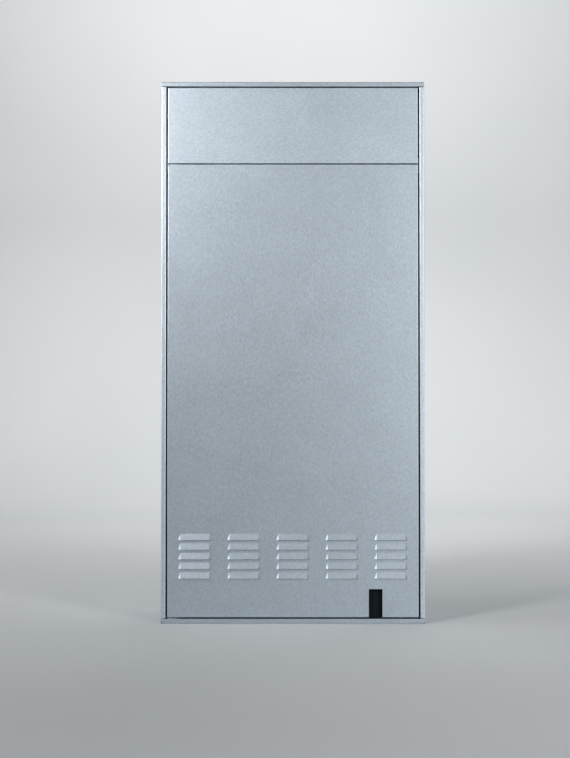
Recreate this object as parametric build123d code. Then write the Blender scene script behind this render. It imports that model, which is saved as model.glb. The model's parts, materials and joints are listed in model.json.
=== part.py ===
from build123d import *
import math
import os

# A wall boiler in a recessed sheet-metal cabinet. Lengths are in millimetres.
# +Z is up, the door faces -Y, +X is to the right, and the origin is the middle of the base.

# Cabinet
WIDTH = 600.0
DEPTH = 240.0
HEIGHT = 1235.0
SHEET = 1.2
BEND_RADIUS = 2.0
POST_WIDTH = 11.0
POST_RETURN = 23.0
TOP_RAIL = 11.0
BOTTOM_RAIL = 12.0
RAIL_RETURN = 14.0
REAR_FLANGE = 14.0
RAIL_CLIP_WIDTH = 5.0
RAIL_CLIP_HEIGHT = 9.0
SIDE_GAP = 3.5
SEAM = 3.0
MIDDLE_SEAM = 1.8
TOP_SEAM = 2.2
POST_JOINT = 0.8
SEAT = 0.3
CUT = 1.0

# Door and top panel
PANEL_DEPTH = 16.0
PANEL_LIP = 10.0
PANEL_EDGE_RADIUS = 1.5
TOP_PANEL_HEIGHT = 174.0
LOUVRE_COLUMNS = 5
LOUVRE_ROWS = 5
LOUVRE_COLUMN_PITCH = 111.3
LOUVRE_ROW_PITCH = 21.8
LOUVRE_BASE = 88.0
LOUVRE_LENGTH = 75.0
LOUVRE_TOP_LENGTH = 66.0
LOUVRE_HEIGHT = 14.0
LOUVRE_PROUD = 5.0
LOUVRE_LIP_INSET = 5.0
NOTCH_INSET = 98.0
NOTCH_WIDTH = 31.0
NOTCH_HEIGHT = 64.0
CUP_WALL = 1.5
CUP_DEPTH = 13.0
STIFFENER_X = 150.0
STIFFENER_WIDTH = 40.0
STIFFENER_DEPTH = 12.0
STIFFENER_MARGIN = 46.0

# Door hinge, catches and panel blades
HINGE_INSET = 12.0
HINGE_SETBACK = 8.0
PIN_RADIUS = 3.0
PIN_CLEARANCE = 0.08
PIN_HOLE_MARGIN = 0.6
PIN_REACH = 12.0
HINGE_PLATE = 2.0
HINGE_TONGUE = 1.0
HINGE_PLATE_WIDTH = 21.0
LEAF_THICKNESS = 3.3
CATCH_HEIGHTS = (190.0, 860.0)
CATCH_LENGTH = 50.0
CATCH_WIDTH = 12.0
STRIKE_THICKNESS = 1.0
BLADE_SETBACK = 45.5
BLADE_WIDTH = 7.0
BLADE_THICKNESS = 2.0
BLADE_CLEARANCE = 0.2
BLADE_LENGTH = 14.0
BLADE_INSET = 6.0
SOCKET_SIZE = 11.0

# Cross rail, seals, wall bracket and chassis
CROSS_RAIL_DEPTH = 12.0
CROSS_RAIL_OVERLAP = 16.0
SEAL_WIDTH = 11.0
SEAL_DEPTH = 4.0
BACK_RIB_X = 140.0
BACK_RIB_WIDTH = 16.0
BACK_RIB_DEPTH = 4.0
WALL_HOLE_X = 230.0
WALL_HOLE_LOW = 150.0
WALL_HOLE_HIGH = 1100.0
WALL_HOLE_RADIUS = 5.0
LUG_HEIGHTS = (300.0, 900.0)
LUG_WIDTH = 30.0
LUG_HEIGHT = 60.0
LUG_SLIT = 2.0
BRACKET_DEPTH = 8.0
BRACKET_BASE = 955.0
BRACKET_HEIGHT = 40.0
BRACKET_HALF = 180.0
CHASSIS_HALF = 232.0
CHASSIS_BASE = 205.0
CHASSIS_TOP = 1005.0
CHASSIS_FLANGE = 8.0
CHASSIS_SLOT_LENGTH = 60.0
CHASSIS_SLOT_WIDTH = 16.0
CHASSIS_SLOT_X = 160.0
CHASSIS_SLOT_HEIGHTS = (380.0, 540.0, 690.0)
CHASSIS_NUT_X = (-150.0, -50.0, 50.0, 150.0)
NUT_FLAT = 6.5
CHASSIS_NUT_LENGTH = 6.0
BURNER_NUT_LENGTH = 7.0
ACCESS_GAP = 12.0

# Pipes and service valves
PIPE_SIDES = 20
PIPE_SETBACK = 21.3
PIPE_PITCH = 55.0
HEATING_PIPE_RADIUS = 11.0
WATER_PIPE_RADIUS = 7.5
SMALL_PIPE_RADIUS = 5.0
NUT_HEIGHT = 16.0
NUT_MARGIN = 4.5
TAIL_LENGTH = 20.0
TAIL_WALL = 2.0
VALVE_BASE = 112.0
VALVE_HEIGHT = 66.0
VALVE_BODY_FLAT = 15.5
STEM_FLAT = 8.0
STEM_LENGTH = 26.0
LEVER_LENGTH = 36.0
LEVER_WIDTH = 12.0
LEVER_THICKNESS = 3.0
SLOT_MARGIN = 26.0

# Water block, pump and plate exchanger
BLOCK_BASE = 215.0
BLOCK_HEIGHT = 85.0
BLOCK_DEPTH = 34.0
BLOCK_MARGIN = 28.0
BLOCK_END = 14.0
PUMP_Z = 262.0
VOLUTE_RADIUS = 44.0
VOLUTE_DEPTH = 34.0
VOLUTE_WALL = 4.0
VOLUTE_LEG = 12.0
PUMP_MOTOR_RADIUS = 36.0
PUMP_MOTOR_LENGTH = 86.0
ROTOR_RADIUS = 35.0
ROTOR_SHAFT_RADIUS = 4.0
ROTOR_VANES = 6
RUNNING_GAP = 2.0
SHAFT_CLEARANCE = 0.08
PLATE_HALF = 36.0
PLATE_HEIGHT = 170.0
PLATE_DEPTH = 58.0
PLATE_COUNT = 12
PLATE_STEP = 1.5
PORT_REACH = 18.0
DIVERTER_STEM_RADIUS = 4.0
DIVERTER_TRAVEL = 5.0
DIVERTER_SEAT = 12.0
CARTRIDGE_LENGTH = 24.0
DIVERTER_MOTOR_WIDTH = 44.0
DIVERTER_MOTOR_HEIGHT = 52.0
DIVERTER_MOTOR_DEPTH = 32.0
SAFETY_REACH = 14.0
SAFETY_STEM = 30.0
SAFETY_KNOB_RADIUS = 14.0
SAFETY_KNOB_LENGTH = 14.0

# Heat exchanger and burner
EXCHANGER_Z = 830.0
EXCHANGER_RADIUS = 122.0
EXCHANGER_WALL = 3.0
DRUM_SIDES = 48
EXCHANGER_FLANGE = 7.0
FLANGE_THICKNESS = 6.0
FOOT_SPREAD = 45.0
FOOT_HALF = 70.0
FOOT_THICKNESS = 24.0
DRAIN_DROP = 6.0
RISER_DROP = 88.0
EXCHANGER_SETBACK = 56.0
EXCHANGER_STANDOFF = 9.0
BURNER_DOOR_THICKNESS = 10.0
BURNER_RADIUS = 34.0
BURNER_NUTS = 6
BURNER_NUT_INSET = 11.0
BURNER_DEPTH_SHARE = 0.72
INLET_WIDTH = 60.0
INLET_DEPTH = 24.0
INLET_WALL = 4.0
IGNITION_WIDTH = 70.0
IGNITION_DEPTH = 34.0
IGNITION_HEIGHT = 42.0
PAD_RADIUS = 80.0
PAD_HEIGHT = 8.0
PAD_ANGLES = (25.0, 155.0)
FLUE_RADIUS = 30.3
FLUE_WALL = 1.5
PLINTH_HEIGHT = 10.0
PLINTH_MARGIN = 6.0
JACKET_RADIUS = 50.0
JACKET_BASE = 1000.0
JACKET_SIDES = 36
FLUE_HOLE_CLEARANCE = 3.0
TEST_PLUG_REACH = 9.0
TEST_PLUG_DROP = 60.0
FLUE_SETBACK = 68.0

# Fan, gas valve and air path
FAN_X = 56.0
FAN_GAP = 11.0
FAN_OUTLET_HEIGHT = 95.0
FAN_DEPTH = 46.0
FAN_WALL = 2.5
SCROLL_START = 64.0
SCROLL_END = 84.0
FAN_OUTLET = 56.0
IMPELLER_RADIUS = 56.0
IMPELLER_BLADES = 12
FAN_EYE_RADIUS = 26.0
FAN_SHAFT_RADIUS = 4.0
FAN_MOTOR_RADIUS = 38.0
VENTURI_LENGTH = 48.0
VENTURI_RADIUS = 28.0
THROAT_RADIUS = 16.0
MIXTURE_PIPE_RADIUS = 8.0
GAS_VALVE_HALF = 36.0
GAS_VALVE_DROP = 133.0
GAS_VALVE_HEIGHT = 92.0
GAS_VALVE_DEPTH = 72.0
GAS_VALVE_OFFSET = 16.0
ARM_HALF = 14.0
COIL_HALF = 14.0
COIL_WIDTH = 34.0
COIL_HEIGHTS = (28.0, 64.0)
COIL_DEPTH = 22.0
AIR_DUCT_SIZE = 46.0
DUCT_WALL = 1.5
SILENCER_GAP = 22.8
SILENCER_WIDTH = 90.0
SILENCER_DROP = 125.0
SILENCER_TOP = 930.0
SILENCER_DEPTH = 96.0
SILENCER_CHAMFER = 14.0
SILENCER_FOOT_LOW = 50.0
SILENCER_FOOT_HIGH = 110.0
AIR_DUCT_Z = 1085.0

# Expansion vessel and condensate trap
VESSEL_GAP = 14.0
VESSEL_WIDTH = 118.0
VESSEL_DEPTH = 124.0
VESSEL_BASE = 420.0
VESSEL_HEIGHT = 500.0
VESSEL_RADIUS = 26.0
VESSEL_SEAM = 3.0
STRAP_WIDTH = 22.0
STRAP_INSET = 90.0
TRAP_X = -74.0
TRAP_Y = 20.0
TRAP_BASE = 132.0
TRAP_HEIGHT = 100.0
TRAP_RADIUS = 24.0
TRAP_CUP_HEIGHT = 34.0
TRAP_NECK = 14.0
OUTLET_SPREAD = 86.0
LEG_DROP = 44.0
SPIGOT_ELBOW_WALL = 1.5
HOSE_SOCKET_WALL = 3.0
HOSE_RADIUS = 9.0
SPIGOT_RADIUS = 10.5

# Control box
BOX_CLEARANCE = 18.0
BOX_BASE = 236.0
BOX_HEIGHT = 118.0
BOX_DEPTH = 46.0
BOX_WALL = 2.0
FASCIA_THICKNESS = 3.0
CONTROL_STANDOFF = 13.0
BOX_ARM_THICKNESS = 3.0
BOX_ARM_HEIGHT = 30.0
CABLE_SLOT_X = (-150.0, -120.0, 60.0, 90.0)
CABLE_SLOT_WIDTH = 16.0
CABLE_SLOT_DEPTH = 10.0
BOARD_MARGIN = 30.0
BOARD_END_GAP = 12.0
BOARD_STANDOFF = 10.0
BOARD_THICKNESS = 2.0
BOARD_POST_INSET = 10.0
RELAY_X = -95.0
RELAY_SIZE = (50.0, 18.0, 18.0)
COIL_BLOCK_X = 45.0
COIL_BLOCK_SIZE = (50.0, 14.0, 36.0)
BUTTON_COUNT = 4
BUTTON_PITCH = 26.0
BUTTON_WIDTH = 16.0
BUTTON_HEIGHT = 10.0
BUTTON_TRAVEL = 1.5
BUTTON_PROUD = 2.5
BUTTON_CLEARANCE = 0.4
DISPLAY_WIDTH = 92.0
DISPLAY_HEIGHT = 42.0
DIAL_RADIUS = 19.0
DIAL_HEIGHT = 12.0
SPINDLE_RADIUS = 3.5
GAUGE_RADIUS = 26.0
GAUGE_DEPTH = 14.0
GAUGE_RIM = 4.0
GAUGE_INSET = 45.0
DIAL_INSET = 105.0
BUTTON_INSET = 35.0
DISPLAY_SPACING = 40.0

# Planes and edges that several pieces share
FRONT = -DEPTH / 2
BACK = DEPTH / 2
SIDE = WIDTH / 2
POST_INNER = SIDE - POST_WIDTH
PANEL_HALF = POST_INNER - SIDE_GAP
BLADE_X = PANEL_HALF - BLADE_SETBACK
NOTCH_X = PANEL_HALF - NOTCH_INSET
PANEL_BACK = FRONT + PANEL_DEPTH
POST_END = FRONT + POST_RETURN
DOOR_BASE = BOTTOM_RAIL + SEAM
TOP_PANEL_TOP = HEIGHT - TOP_RAIL - TOP_SEAM
TOP_PANEL_BASE = TOP_PANEL_TOP - TOP_PANEL_HEIGHT
DOOR_TOP = TOP_PANEL_BASE - MIDDLE_SEAM
CROSS_FRONT = POST_END + SEAT
CROSS_BASE = DOOR_TOP - CROSS_RAIL_OVERLAP
CROSS_TOP = TOP_PANEL_BASE + CROSS_RAIL_OVERLAP + 1
HINGE_X = -PANEL_HALF + HINGE_INSET
HINGE_Y = FRONT + HINGE_SETBACK
BAY_FRONT = PANEL_BACK + ACCESS_GAP
BACK_SHEET_FRONT = BACK - SHEET
CHASSIS_BACK = BACK_SHEET_FRONT - BRACKET_DEPTH
CHASSIS_FRONT = CHASSIS_BACK - SHEET
PIPE_Y = CHASSIS_FRONT - PIPE_SETBACK
FLOW_X = -2 * PIPE_PITCH
HOT_X = -PIPE_PITCH
GAS_X = 0.0
COLD_X = PIPE_PITCH
RETURN_X = 2 * PIPE_PITCH
SAFETY_X = RETURN_X + VOLUTE_RADIUS + SAFETY_REACH
BOX_HALF = SAFETY_X + SAFETY_KNOB_RADIUS + BOX_CLEARANCE
TAIL_BASE = VALVE_BASE - TAIL_LENGTH
VALVE_TOP = VALVE_BASE + VALVE_HEIGHT
NUT_TOP = VALVE_TOP + NUT_HEIGHT
VALVE_AXIS_Z = VALVE_BASE + VALVE_HEIGHT * 0.6
BLOCK_TOP = BLOCK_BASE + BLOCK_HEIGHT
BLOCK_BACK = CHASSIS_FRONT
BLOCK_FRONT = PIPE_Y - BLOCK_DEPTH / 2
EXCHANGER_FRONT = BAY_FRONT + EXCHANGER_SETBACK
EXCHANGER_BACK = CHASSIS_FRONT - EXCHANGER_STANDOFF
RISER_TOP = EXCHANGER_Z - RISER_DROP
PLINTH_TOP = EXCHANGER_Z + EXCHANGER_RADIUS + PLINTH_HEIGHT
FLUE_Y = BACK_SHEET_FRONT - FLUE_SETBACK
OUTLET_X = TRAP_X - OUTLET_SPREAD
DRAIN_Z = EXCHANGER_Z - EXCHANGER_RADIUS - DRAIN_DROP
FAN_FRONT = EXCHANGER_FRONT - FAN_DEPTH
FAN_TOP = EXCHANGER_Z - EXCHANGER_RADIUS - EXCHANGER_FLANGE - FAN_GAP
FAN_Z = FAN_TOP - FAN_OUTLET_HEIGHT
FAN_BACK = EXCHANGER_FRONT
VENTURI_BACK = FAN_BACK + VENTURI_LENGTH
GAS_VALVE_BASE = FAN_Z - GAS_VALVE_DROP
GAS_VALVE_BACK = PIPE_Y + GAS_VALVE_OFFSET
SILENCER_X = SIDE - SHEET - SILENCER_GAP - SILENCER_WIDTH
SILENCER_BASE = FAN_Z - SILENCER_DROP
GAS_VALVE_FRONT = GAS_VALVE_BACK - GAS_VALVE_DEPTH
GAS_VALVE_TOP = GAS_VALVE_BASE + GAS_VALVE_HEIGHT
FASCIA_FRONT = BAY_FRONT + CONTROL_STANDOFF
FASCIA_BACK = FASCIA_FRONT + FASCIA_THICKNESS
BOX_BACK = FASCIA_BACK + BOX_DEPTH
BOX_TOP = BOX_BASE + BOX_HEIGHT
CONTROL_Z = BOX_BASE + BOX_HEIGHT / 2
GAUGE_X = BOX_HALF - GAUGE_INSET
DIAL_X = BOX_HALF - DIAL_INSET
BUTTON_X = -BOX_HALF + BUTTON_INSET
DISPLAY_X = BUTTON_X + BUTTON_COUNT * BUTTON_PITCH + DISPLAY_SPACING
VESSEL_LEFT = -SIDE + SHEET + VESSEL_GAP
VESSEL_RIGHT = VESSEL_LEFT + VESSEL_WIDTH
VESSEL_BACK = CHASSIS_FRONT - EXCHANGER_STANDOFF
VESSEL_FRONT = VESSEL_BACK - VESSEL_DEPTH
STRAP_CORNER = VESSEL_RADIUS * (2 - math.sqrt(2)) - SEAT
VESSEL_X = (VESSEL_LEFT + VESSEL_RIGHT) / 2
VESSEL_Y = (VESSEL_FRONT + VESSEL_BACK) / 2


def block(x0, x1, y0, y1, z0, z1):
    """Return a box between two corners."""
    middle = ((x0 + x1) / 2, (y0 + y1) / 2, (z0 + z1) / 2)
    return Pos(*middle) * Box(x1 - x0, y1 - y0, z1 - z0)


def rod(x, y, z0, z1, radius):
    """Return an upright cylinder."""
    return Pos(x, y, (z0 + z1) / 2) * Cylinder(radius, z1 - z0)


def hexagon(x, y, z0, z1, flat):
    """Return an upright hexagonal bar, flat being its centre-to-flat distance."""
    outline = RegularPolygon(flat, 6, major_radius=False)
    return Pos(x, y, z0) * extrude(outline, z1 - z0)


def prism(z0, z1, flat, sides):
    """Return a regular prism on the local Z axis, flat being its centre-to-flat distance."""
    outline = RegularPolygon(flat, sides, major_radius=False, rotation=180 / sides)
    return Pos(0, 0, z0) * extrude(outline, z1 - z0)


def facing(x, y, z):
    """Return a place whose own +Z looks out of the front and whose +Y is up."""
    return Pos(x, y, z) * Rot(90, 0, 0)


def disc(z0, z1, radius):
    """Return a cylinder on the local Z axis."""
    return rod(0, 0, z0, z1, radius)


def folded(points, side):
    """Return the section of a folded sheet whose outer face follows the points."""
    line = FilletPolyline(*points, radius=BEND_RADIUS)
    outline = Wire(line.edges()).offset_2d(SHEET, kind=Kind.ARC, side=side, closed=True)
    return make_face(outline)


def upright(section, z0, z1):
    """Return a section drawn in X and Y, filled between two heights."""
    return Pos(0, 0, z0) * extrude(section, z1 - z0, dir=(0, 0, 1))


def across(section, x0, x1):
    """Return a section drawn in Y and Z, filled between two sides."""
    return Plane.YZ.offset(x0) * extrude(section, x1 - x0, dir=(0, 0, 1))


def both_sides(shape):
    """Return a shape and its mirror image about the middle plane."""
    return [shape, mirror(shape, about=Plane.YZ)]


def save(name, *shapes):
    """Write one node, with every solid of the shapes in it."""
    solids = [solid for shape in shapes for solid in shape.solids()]
    export_step(Compound(solids), "parts/" + name + ".step")


# Cabinet shell

def cabinet_side():
    """Left wall with its rear flange, front post and the post's return."""
    section = folded(
        [
            (-SIDE + REAR_FLANGE, BACK_SHEET_FRONT),
            (-SIDE, BACK_SHEET_FRONT),
            (-SIDE, FRONT),
            (-POST_INNER, FRONT),
            (-POST_INNER, POST_END),
        ],
        Side.LEFT,
    )
    wall = upright(section, SHEET, HEIGHT - SHEET)
    rail_back = FRONT + SHEET + SEAT
    post_back = POST_END + CUT
    low_joint = BOTTOM_RAIL + POST_JOINT
    high_joint = HEIGHT - TOP_RAIL - POST_JOINT
    for z0, z1 in ((0, low_joint), (high_joint, HEIGHT)):
        wall -= block(-SIDE - CUT, -POST_INNER + CUT, FRONT - CUT, rail_back, z0, z1)
        wall -= block(-SIDE + SHEET, -POST_INNER + CUT, FRONT - CUT, post_back, z0, z1)
    for z in LUG_HEIGHTS:
        wall -= lug_slits(z)
    return wall


def lug_slits(z):
    """The three slits that leave a fold-out masonry lug in the left wall."""
    x0 = -SIDE - CUT
    x1 = -SIDE + SHEET + CUT
    half = LUG_WIDTH / 2
    top = z + LUG_HEIGHT
    slits = block(x0, x1, -half - LUG_SLIT, half + LUG_SLIT, top, top + LUG_SLIT)
    for y in (-half - LUG_SLIT, half):
        slits += block(x0, x1, y, y + LUG_SLIT, z, z + LUG_HEIGHT)
    return slits


def cabinet_back():
    """Back sheet with two pressed ribs and the four wall-bolt holes."""
    back = block(-SIDE, SIDE, BACK_SHEET_FRONT, BACK, SHEET, HEIGHT - SHEET)
    rib_top = BRACKET_BASE - STRAP_WIDTH
    rib_base = WALL_HOLE_LOW / 2
    half = BACK_RIB_WIDTH / 2
    for x in (-BACK_RIB_X, BACK_RIB_X):
        rib_front = BACK_SHEET_FRONT - BACK_RIB_DEPTH
        back += block(x - half, x + half, rib_front, BACK_SHEET_FRONT, rib_base, rib_top)
        groove_half = half - SHEET
        groove_base = rib_base + SHEET
        groove_top = rib_top - SHEET
        back -= block(
            x - groove_half, x + groove_half, rib_front + SHEET, BACK + CUT, groove_base, groove_top
        )
    for x in (-WALL_HOLE_X, WALL_HOLE_X):
        for z in (WALL_HOLE_LOW, WALL_HOLE_HIGH):
            back -= facing(x, BACK + CUT, z) * disc(0, SHEET + 2 * CUT, WALL_HOLE_RADIUS)
    return back


def rail_end_cuts(z0, z1):
    """Clear the side walls behind both ends of a front rail."""
    y0 = FRONT + SHEET + SEAT
    return both_sides(block(-SIDE - CUT, -SIDE + SHEET + SEAT, y0, BACK + CUT, z0, z1))


def cabinet_top():
    """Top sheet with the front rail, flue hole and the tabs for the panel sockets."""
    section = folded(
        [
            (BACK, HEIGHT), (FRONT, HEIGHT),
            (FRONT, HEIGHT - TOP_RAIL), (FRONT + RAIL_RETURN, HEIGHT - TOP_RAIL),
        ],
        Side.LEFT,
    )
    top = across(section, -SIDE, SIDE)
    top -= rail_end_cuts(HEIGHT - TOP_RAIL - CUT, HEIGHT - SHEET)
    hole_radius = JACKET_RADIUS + FLUE_HOLE_CLEARANCE
    top -= rod(0, FLUE_Y, HEIGHT - SHEET - CUT, HEIGHT + CUT, hole_radius)
    tab_base = TOP_PANEL_TOP - BLADE_INSET - SOCKET_SIZE
    for x in (-BLADE_X, BLADE_X):
        x0 = x - SOCKET_SIZE
        x1 = x + SOCKET_SIZE
        tab = block(x0, x1, CROSS_FRONT, CROSS_FRONT + SHEET, tab_base, HEIGHT - SHEET)
        top += tab - blade_slots(CUT)
    return top


def cabinet_bottom():
    """Bottom sheet with the front rail, its clipped corners and the pipe slot."""
    section = folded(
        [(BACK, 0), (FRONT, 0), (FRONT, BOTTOM_RAIL), (FRONT + RAIL_RETURN, BOTTOM_RAIL)],
        Side.RIGHT,
    )
    bottom = across(section, -SIDE, SIDE)
    bottom -= rail_end_cuts(SHEET, BOTTOM_RAIL + CUT)
    clip = Polygon(
        (-SIDE, 0), (-SIDE + RAIL_CLIP_WIDTH, 0), (-SIDE, RAIL_CLIP_HEIGHT), align=None
    )
    clip_solid = Plane.XZ.offset(-FRONT - SHEET - SEAT) * extrude(clip, SHEET + SEAT + CUT)
    bottom -= both_sides(clip_solid)
    slot_half = RETURN_X + 2 * PIPE_PITCH - SLOT_MARGIN
    bottom -= block(-slot_half, slot_half, PIPE_Y - SLOT_MARGIN, PIPE_Y + SLOT_MARGIN, -CUT, SHEET + CUT)
    return bottom


def cross_rail():
    """Channel between the posts, behind the seam of the door and the top panel."""
    rear = CROSS_FRONT + CROSS_RAIL_DEPTH
    section = folded(
        [(rear, CROSS_BASE), (CROSS_FRONT, CROSS_BASE), (CROSS_FRONT, CROSS_TOP), (rear, CROSS_TOP)],
        Side.RIGHT,
    )
    half = SIDE - SHEET - SEAT
    return across(section, -half, half) - blade_slots(CUT)


def frame_seals():
    """Dark foam strips behind the gaps at both sides of the door and the top panel."""
    strips = []
    x0 = POST_INNER + HINGE_PLATE - SEAL_WIDTH
    x1 = POST_INNER + HINGE_PLATE
    spans = ((BOTTOM_RAIL + SEAM, CROSS_BASE - SEAT), (CROSS_TOP + SEAT, TOP_PANEL_TOP))
    for z0, z1 in spans:
        strips += both_sides(block(x0, x1, CROSS_FRONT, CROSS_FRONT + SEAL_DEPTH, z0, z1))
    return strips


# Door and top panel

def pan(z0, z1):
    """A sheet pan that is open at the back, with lips turned in round its rear edge."""
    body = block(-PANEL_HALF, PANEL_HALF, FRONT, PANEL_BACK, z0, z1)
    front_edges = body.edges().group_by(Axis.Y)[0]
    body = fillet(front_edges, PANEL_EDGE_RADIUS)
    inner = PANEL_HALF - SHEET
    body -= block(-inner, inner, FRONT + SHEET, PANEL_BACK - SHEET, z0 + SHEET, z1 - SHEET)
    mouth = PANEL_HALF - PANEL_LIP
    body -= block(-mouth, mouth, PANEL_BACK - SHEET - CUT, PANEL_BACK + CUT, z0 + PANEL_LIP, z1 - PANEL_LIP)
    return body


def louvre():
    """One pressed hood: flush along its top edge, proud along its lower edge."""
    half = LOUVRE_LENGTH / 2
    top = LOUVRE_TOP_LENGTH / 2
    lip = half - LOUVRE_LIP_INSET
    base = [(-half, 0, 0), (half, 0, 0)]
    crest = [(top, 0, LOUVRE_HEIGHT), (-top, 0, LOUVRE_HEIGHT)]
    edge = [(lip, -LOUVRE_PROUD, 0), (-lip, -LOUVRE_PROUD, 0)]
    outlines = [
        base + crest,
        crest + [edge[1], edge[0]],
        base + edge,
        [base[0], crest[1], edge[1]],
        [base[1], crest[0], edge[0]],
    ]
    faces = [Face(Wire.make_polygon(outline, close=True)) for outline in outlines]
    return Solid(Shell(faces))


def louvre_places():
    """Every louvre's place on the door's face, column by column."""
    first_x = -LOUVRE_COLUMN_PITCH * (LOUVRE_COLUMNS - 1) / 2
    places = []
    for column in range(LOUVRE_COLUMNS):
        for row in range(LOUVRE_ROWS):
            x = first_x + column * LOUVRE_COLUMN_PITCH
            places.append((x, FRONT, DOOR_BASE + LOUVRE_BASE + row * LOUVRE_ROW_PITCH))
    return places


def door_panel():
    """Door pan with louvres, a grip notch in its lower edge and two pin holes."""
    door = pan(DOOR_BASE, DOOR_TOP)
    hood = louvre()
    hollow = Pos(0, SHEET, -SHEET) * hood
    door += [Pos(*place) * hood for place in louvre_places()]
    door -= [Pos(*place) * hollow for place in louvre_places()]
    half = NOTCH_WIDTH / 2
    notch_back = FRONT + CUP_DEPTH - CUP_WALL
    notch_top = DOOR_BASE + NOTCH_HEIGHT
    x0 = NOTCH_X - half
    x1 = NOTCH_X + half
    door -= block(x0, x1, FRONT - CUT, notch_back, DOOR_BASE - CUT, notch_top)
    door -= block(x0, x1, notch_back - CUT, PANEL_BACK + CUT, DOOR_BASE - CUT, DOOR_BASE + SHEET)
    pin_hole = prism(DOOR_BASE - CUT, DOOR_TOP + CUT, PIN_RADIUS + PIN_HOLE_MARGIN, 12)
    door -= Pos(HINGE_X, HINGE_Y, 0) * pin_hole
    return door


def grip_cup():
    """Plastic finger cup behind the notch, open to the front and downwards."""
    half = NOTCH_WIDTH / 2
    top = DOOR_BASE + NOTCH_HEIGHT
    front = FRONT + SHEET
    rear = FRONT + CUP_DEPTH
    flange = half + 2 * CUP_WALL
    base = DOOR_BASE + SHEET
    cup = block(NOTCH_X - flange, NOTCH_X + flange, front, rear, base, top + 2 * CUP_WALL)
    cup -= block(NOTCH_X - half, NOTCH_X + half, front - CUT, rear - CUP_WALL, base - CUT, top)
    skirt = half - SEAT
    cup += block(NOTCH_X - skirt, NOTCH_X + skirt, rear - CUP_WALL, rear, DOOR_BASE, base)
    return cup


def door_stiffeners():
    """Two hat rails welded to the inside of the door above the louvres."""
    front = FRONT + SHEET
    rear = front + STIFFENER_DEPTH
    half = STIFFENER_WIDTH / 2
    z0 = DOOR_BASE + LOUVRE_BASE + LOUVRE_ROWS * LOUVRE_ROW_PITCH + STIFFENER_MARGIN
    z1 = DOOR_TOP - STIFFENER_MARGIN
    hat = block(STIFFENER_X - half, STIFFENER_X + half, front, rear, z0, z1)
    inner = half - SHEET
    hat -= block(STIFFENER_X - inner, STIFFENER_X + inner, front - CUT, rear - SHEET, z0 - CUT, z1 + CUT)
    flange = PANEL_LIP
    hat += block(STIFFENER_X + half, STIFFENER_X + half + flange, front, front + SHEET, z0, z1)
    hat += block(STIFFENER_X - half - flange, STIFFENER_X - half, front, front + SHEET, z0, z1)
    return both_sides(hat)


def door_hinge_leaves():
    """Thick plates that carry the pins inside both hinge corners of the door."""
    leaves = []
    x0 = HINGE_X - HINGE_INSET + SHEET
    y0 = FRONT + SHEET
    y1 = PANEL_BACK - SHEET
    for z in (DOOR_BASE + SHEET, DOOR_TOP - SHEET - LEAF_THICKNESS):
        leaf = block(x0, HINGE_X + HINGE_INSET, y0, y1, z, z + LEAF_THICKNESS)
        hole = rod(HINGE_X, HINGE_Y, z - CUT, z + LEAF_THICKNESS + CUT, PIN_RADIUS + PIN_CLEARANCE)
        leaves.append(leaf - hole)
    return leaves


def strike_plates():
    """Steel plates on the door's free lip that the magnets hold."""
    plates = []
    x1 = PANEL_HALF
    for z in CATCH_HEIGHTS:
        plates.append(
            block(
                x1 - PANEL_LIP, x1, PANEL_BACK, PANEL_BACK + STRIKE_THICKNESS,
                z - CATCH_LENGTH / 2, z + CATCH_LENGTH / 2,
            )
        )
    return plates


def blade_slots(margin):
    """Straight slots through whatever the panel's four blades pass."""
    slots = []
    half_x = BLADE_WIDTH / 2 + margin
    half_z = BLADE_THICKNESS / 2 + margin
    for x in (-BLADE_X, BLADE_X):
        for z in (TOP_PANEL_BASE + BLADE_INSET, TOP_PANEL_TOP - BLADE_INSET):
            y1 = PANEL_BACK + 2 * BLADE_LENGTH
            slots.append(block(x - half_x, x + half_x, PANEL_BACK, y1, z - half_z, z + half_z))
    return slots


def panel_blades():
    """Four push-in blades on the rear lips of the top panel."""
    blades = []
    half_x = BLADE_WIDTH / 2
    half_z = BLADE_THICKNESS / 2
    for x in (-BLADE_X, BLADE_X):
        for z in (TOP_PANEL_BASE + BLADE_INSET, TOP_PANEL_TOP - BLADE_INSET):
            y1 = PANEL_BACK + BLADE_LENGTH
            blades.append(block(x - half_x, x + half_x, PANEL_BACK, y1, z - half_z, z + half_z))
    return blades


def panel_sockets():
    """Four blocks in the frame that grip the panel's blades."""
    sockets = []
    half = SOCKET_SIZE / 2
    for x in (-BLADE_X, BLADE_X):
        for z in (TOP_PANEL_BASE + BLADE_INSET, TOP_PANEL_TOP - BLADE_INSET):
            cube = block(x - half, x + half, PANEL_BACK + SEAT, CROSS_FRONT, z - half, z + half)
            sockets.append(cube - blade_slots(BLADE_CLEARANCE))
    return sockets


# Hinge and catches on the frame

def hinge_brackets():
    """Plates with the door's pins, one on the bottom rail and one on the cross rail."""
    half = HINGE_PLATE_WIDTH / 2
    x0 = HINGE_X - half
    x1 = HINGE_X + half
    y0 = HINGE_Y - PIN_RADIUS * 2
    low = block(x0, x1, y0, FRONT + RAIL_RETURN + PIN_RADIUS * 2, BOTTOM_RAIL, BOTTOM_RAIL + HINGE_PLATE)
    low += rod(HINGE_X, HINGE_Y, BOTTOM_RAIL + HINGE_PLATE / 2, DOOR_BASE + PIN_REACH, PIN_RADIUS)
    high_z = DOOR_TOP + (MIDDLE_SEAM - HINGE_TONGUE) / 2
    high = block(x0, x1, y0, CROSS_FRONT, high_z, high_z + HINGE_TONGUE)
    high += block(x0, x1, CROSS_FRONT - HINGE_PLATE, CROSS_FRONT, high_z, CROSS_TOP)
    high += rod(HINGE_X, HINGE_Y, DOOR_TOP - PIN_REACH, high_z + HINGE_TONGUE / 2, PIN_RADIUS)
    return [low, high]


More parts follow.
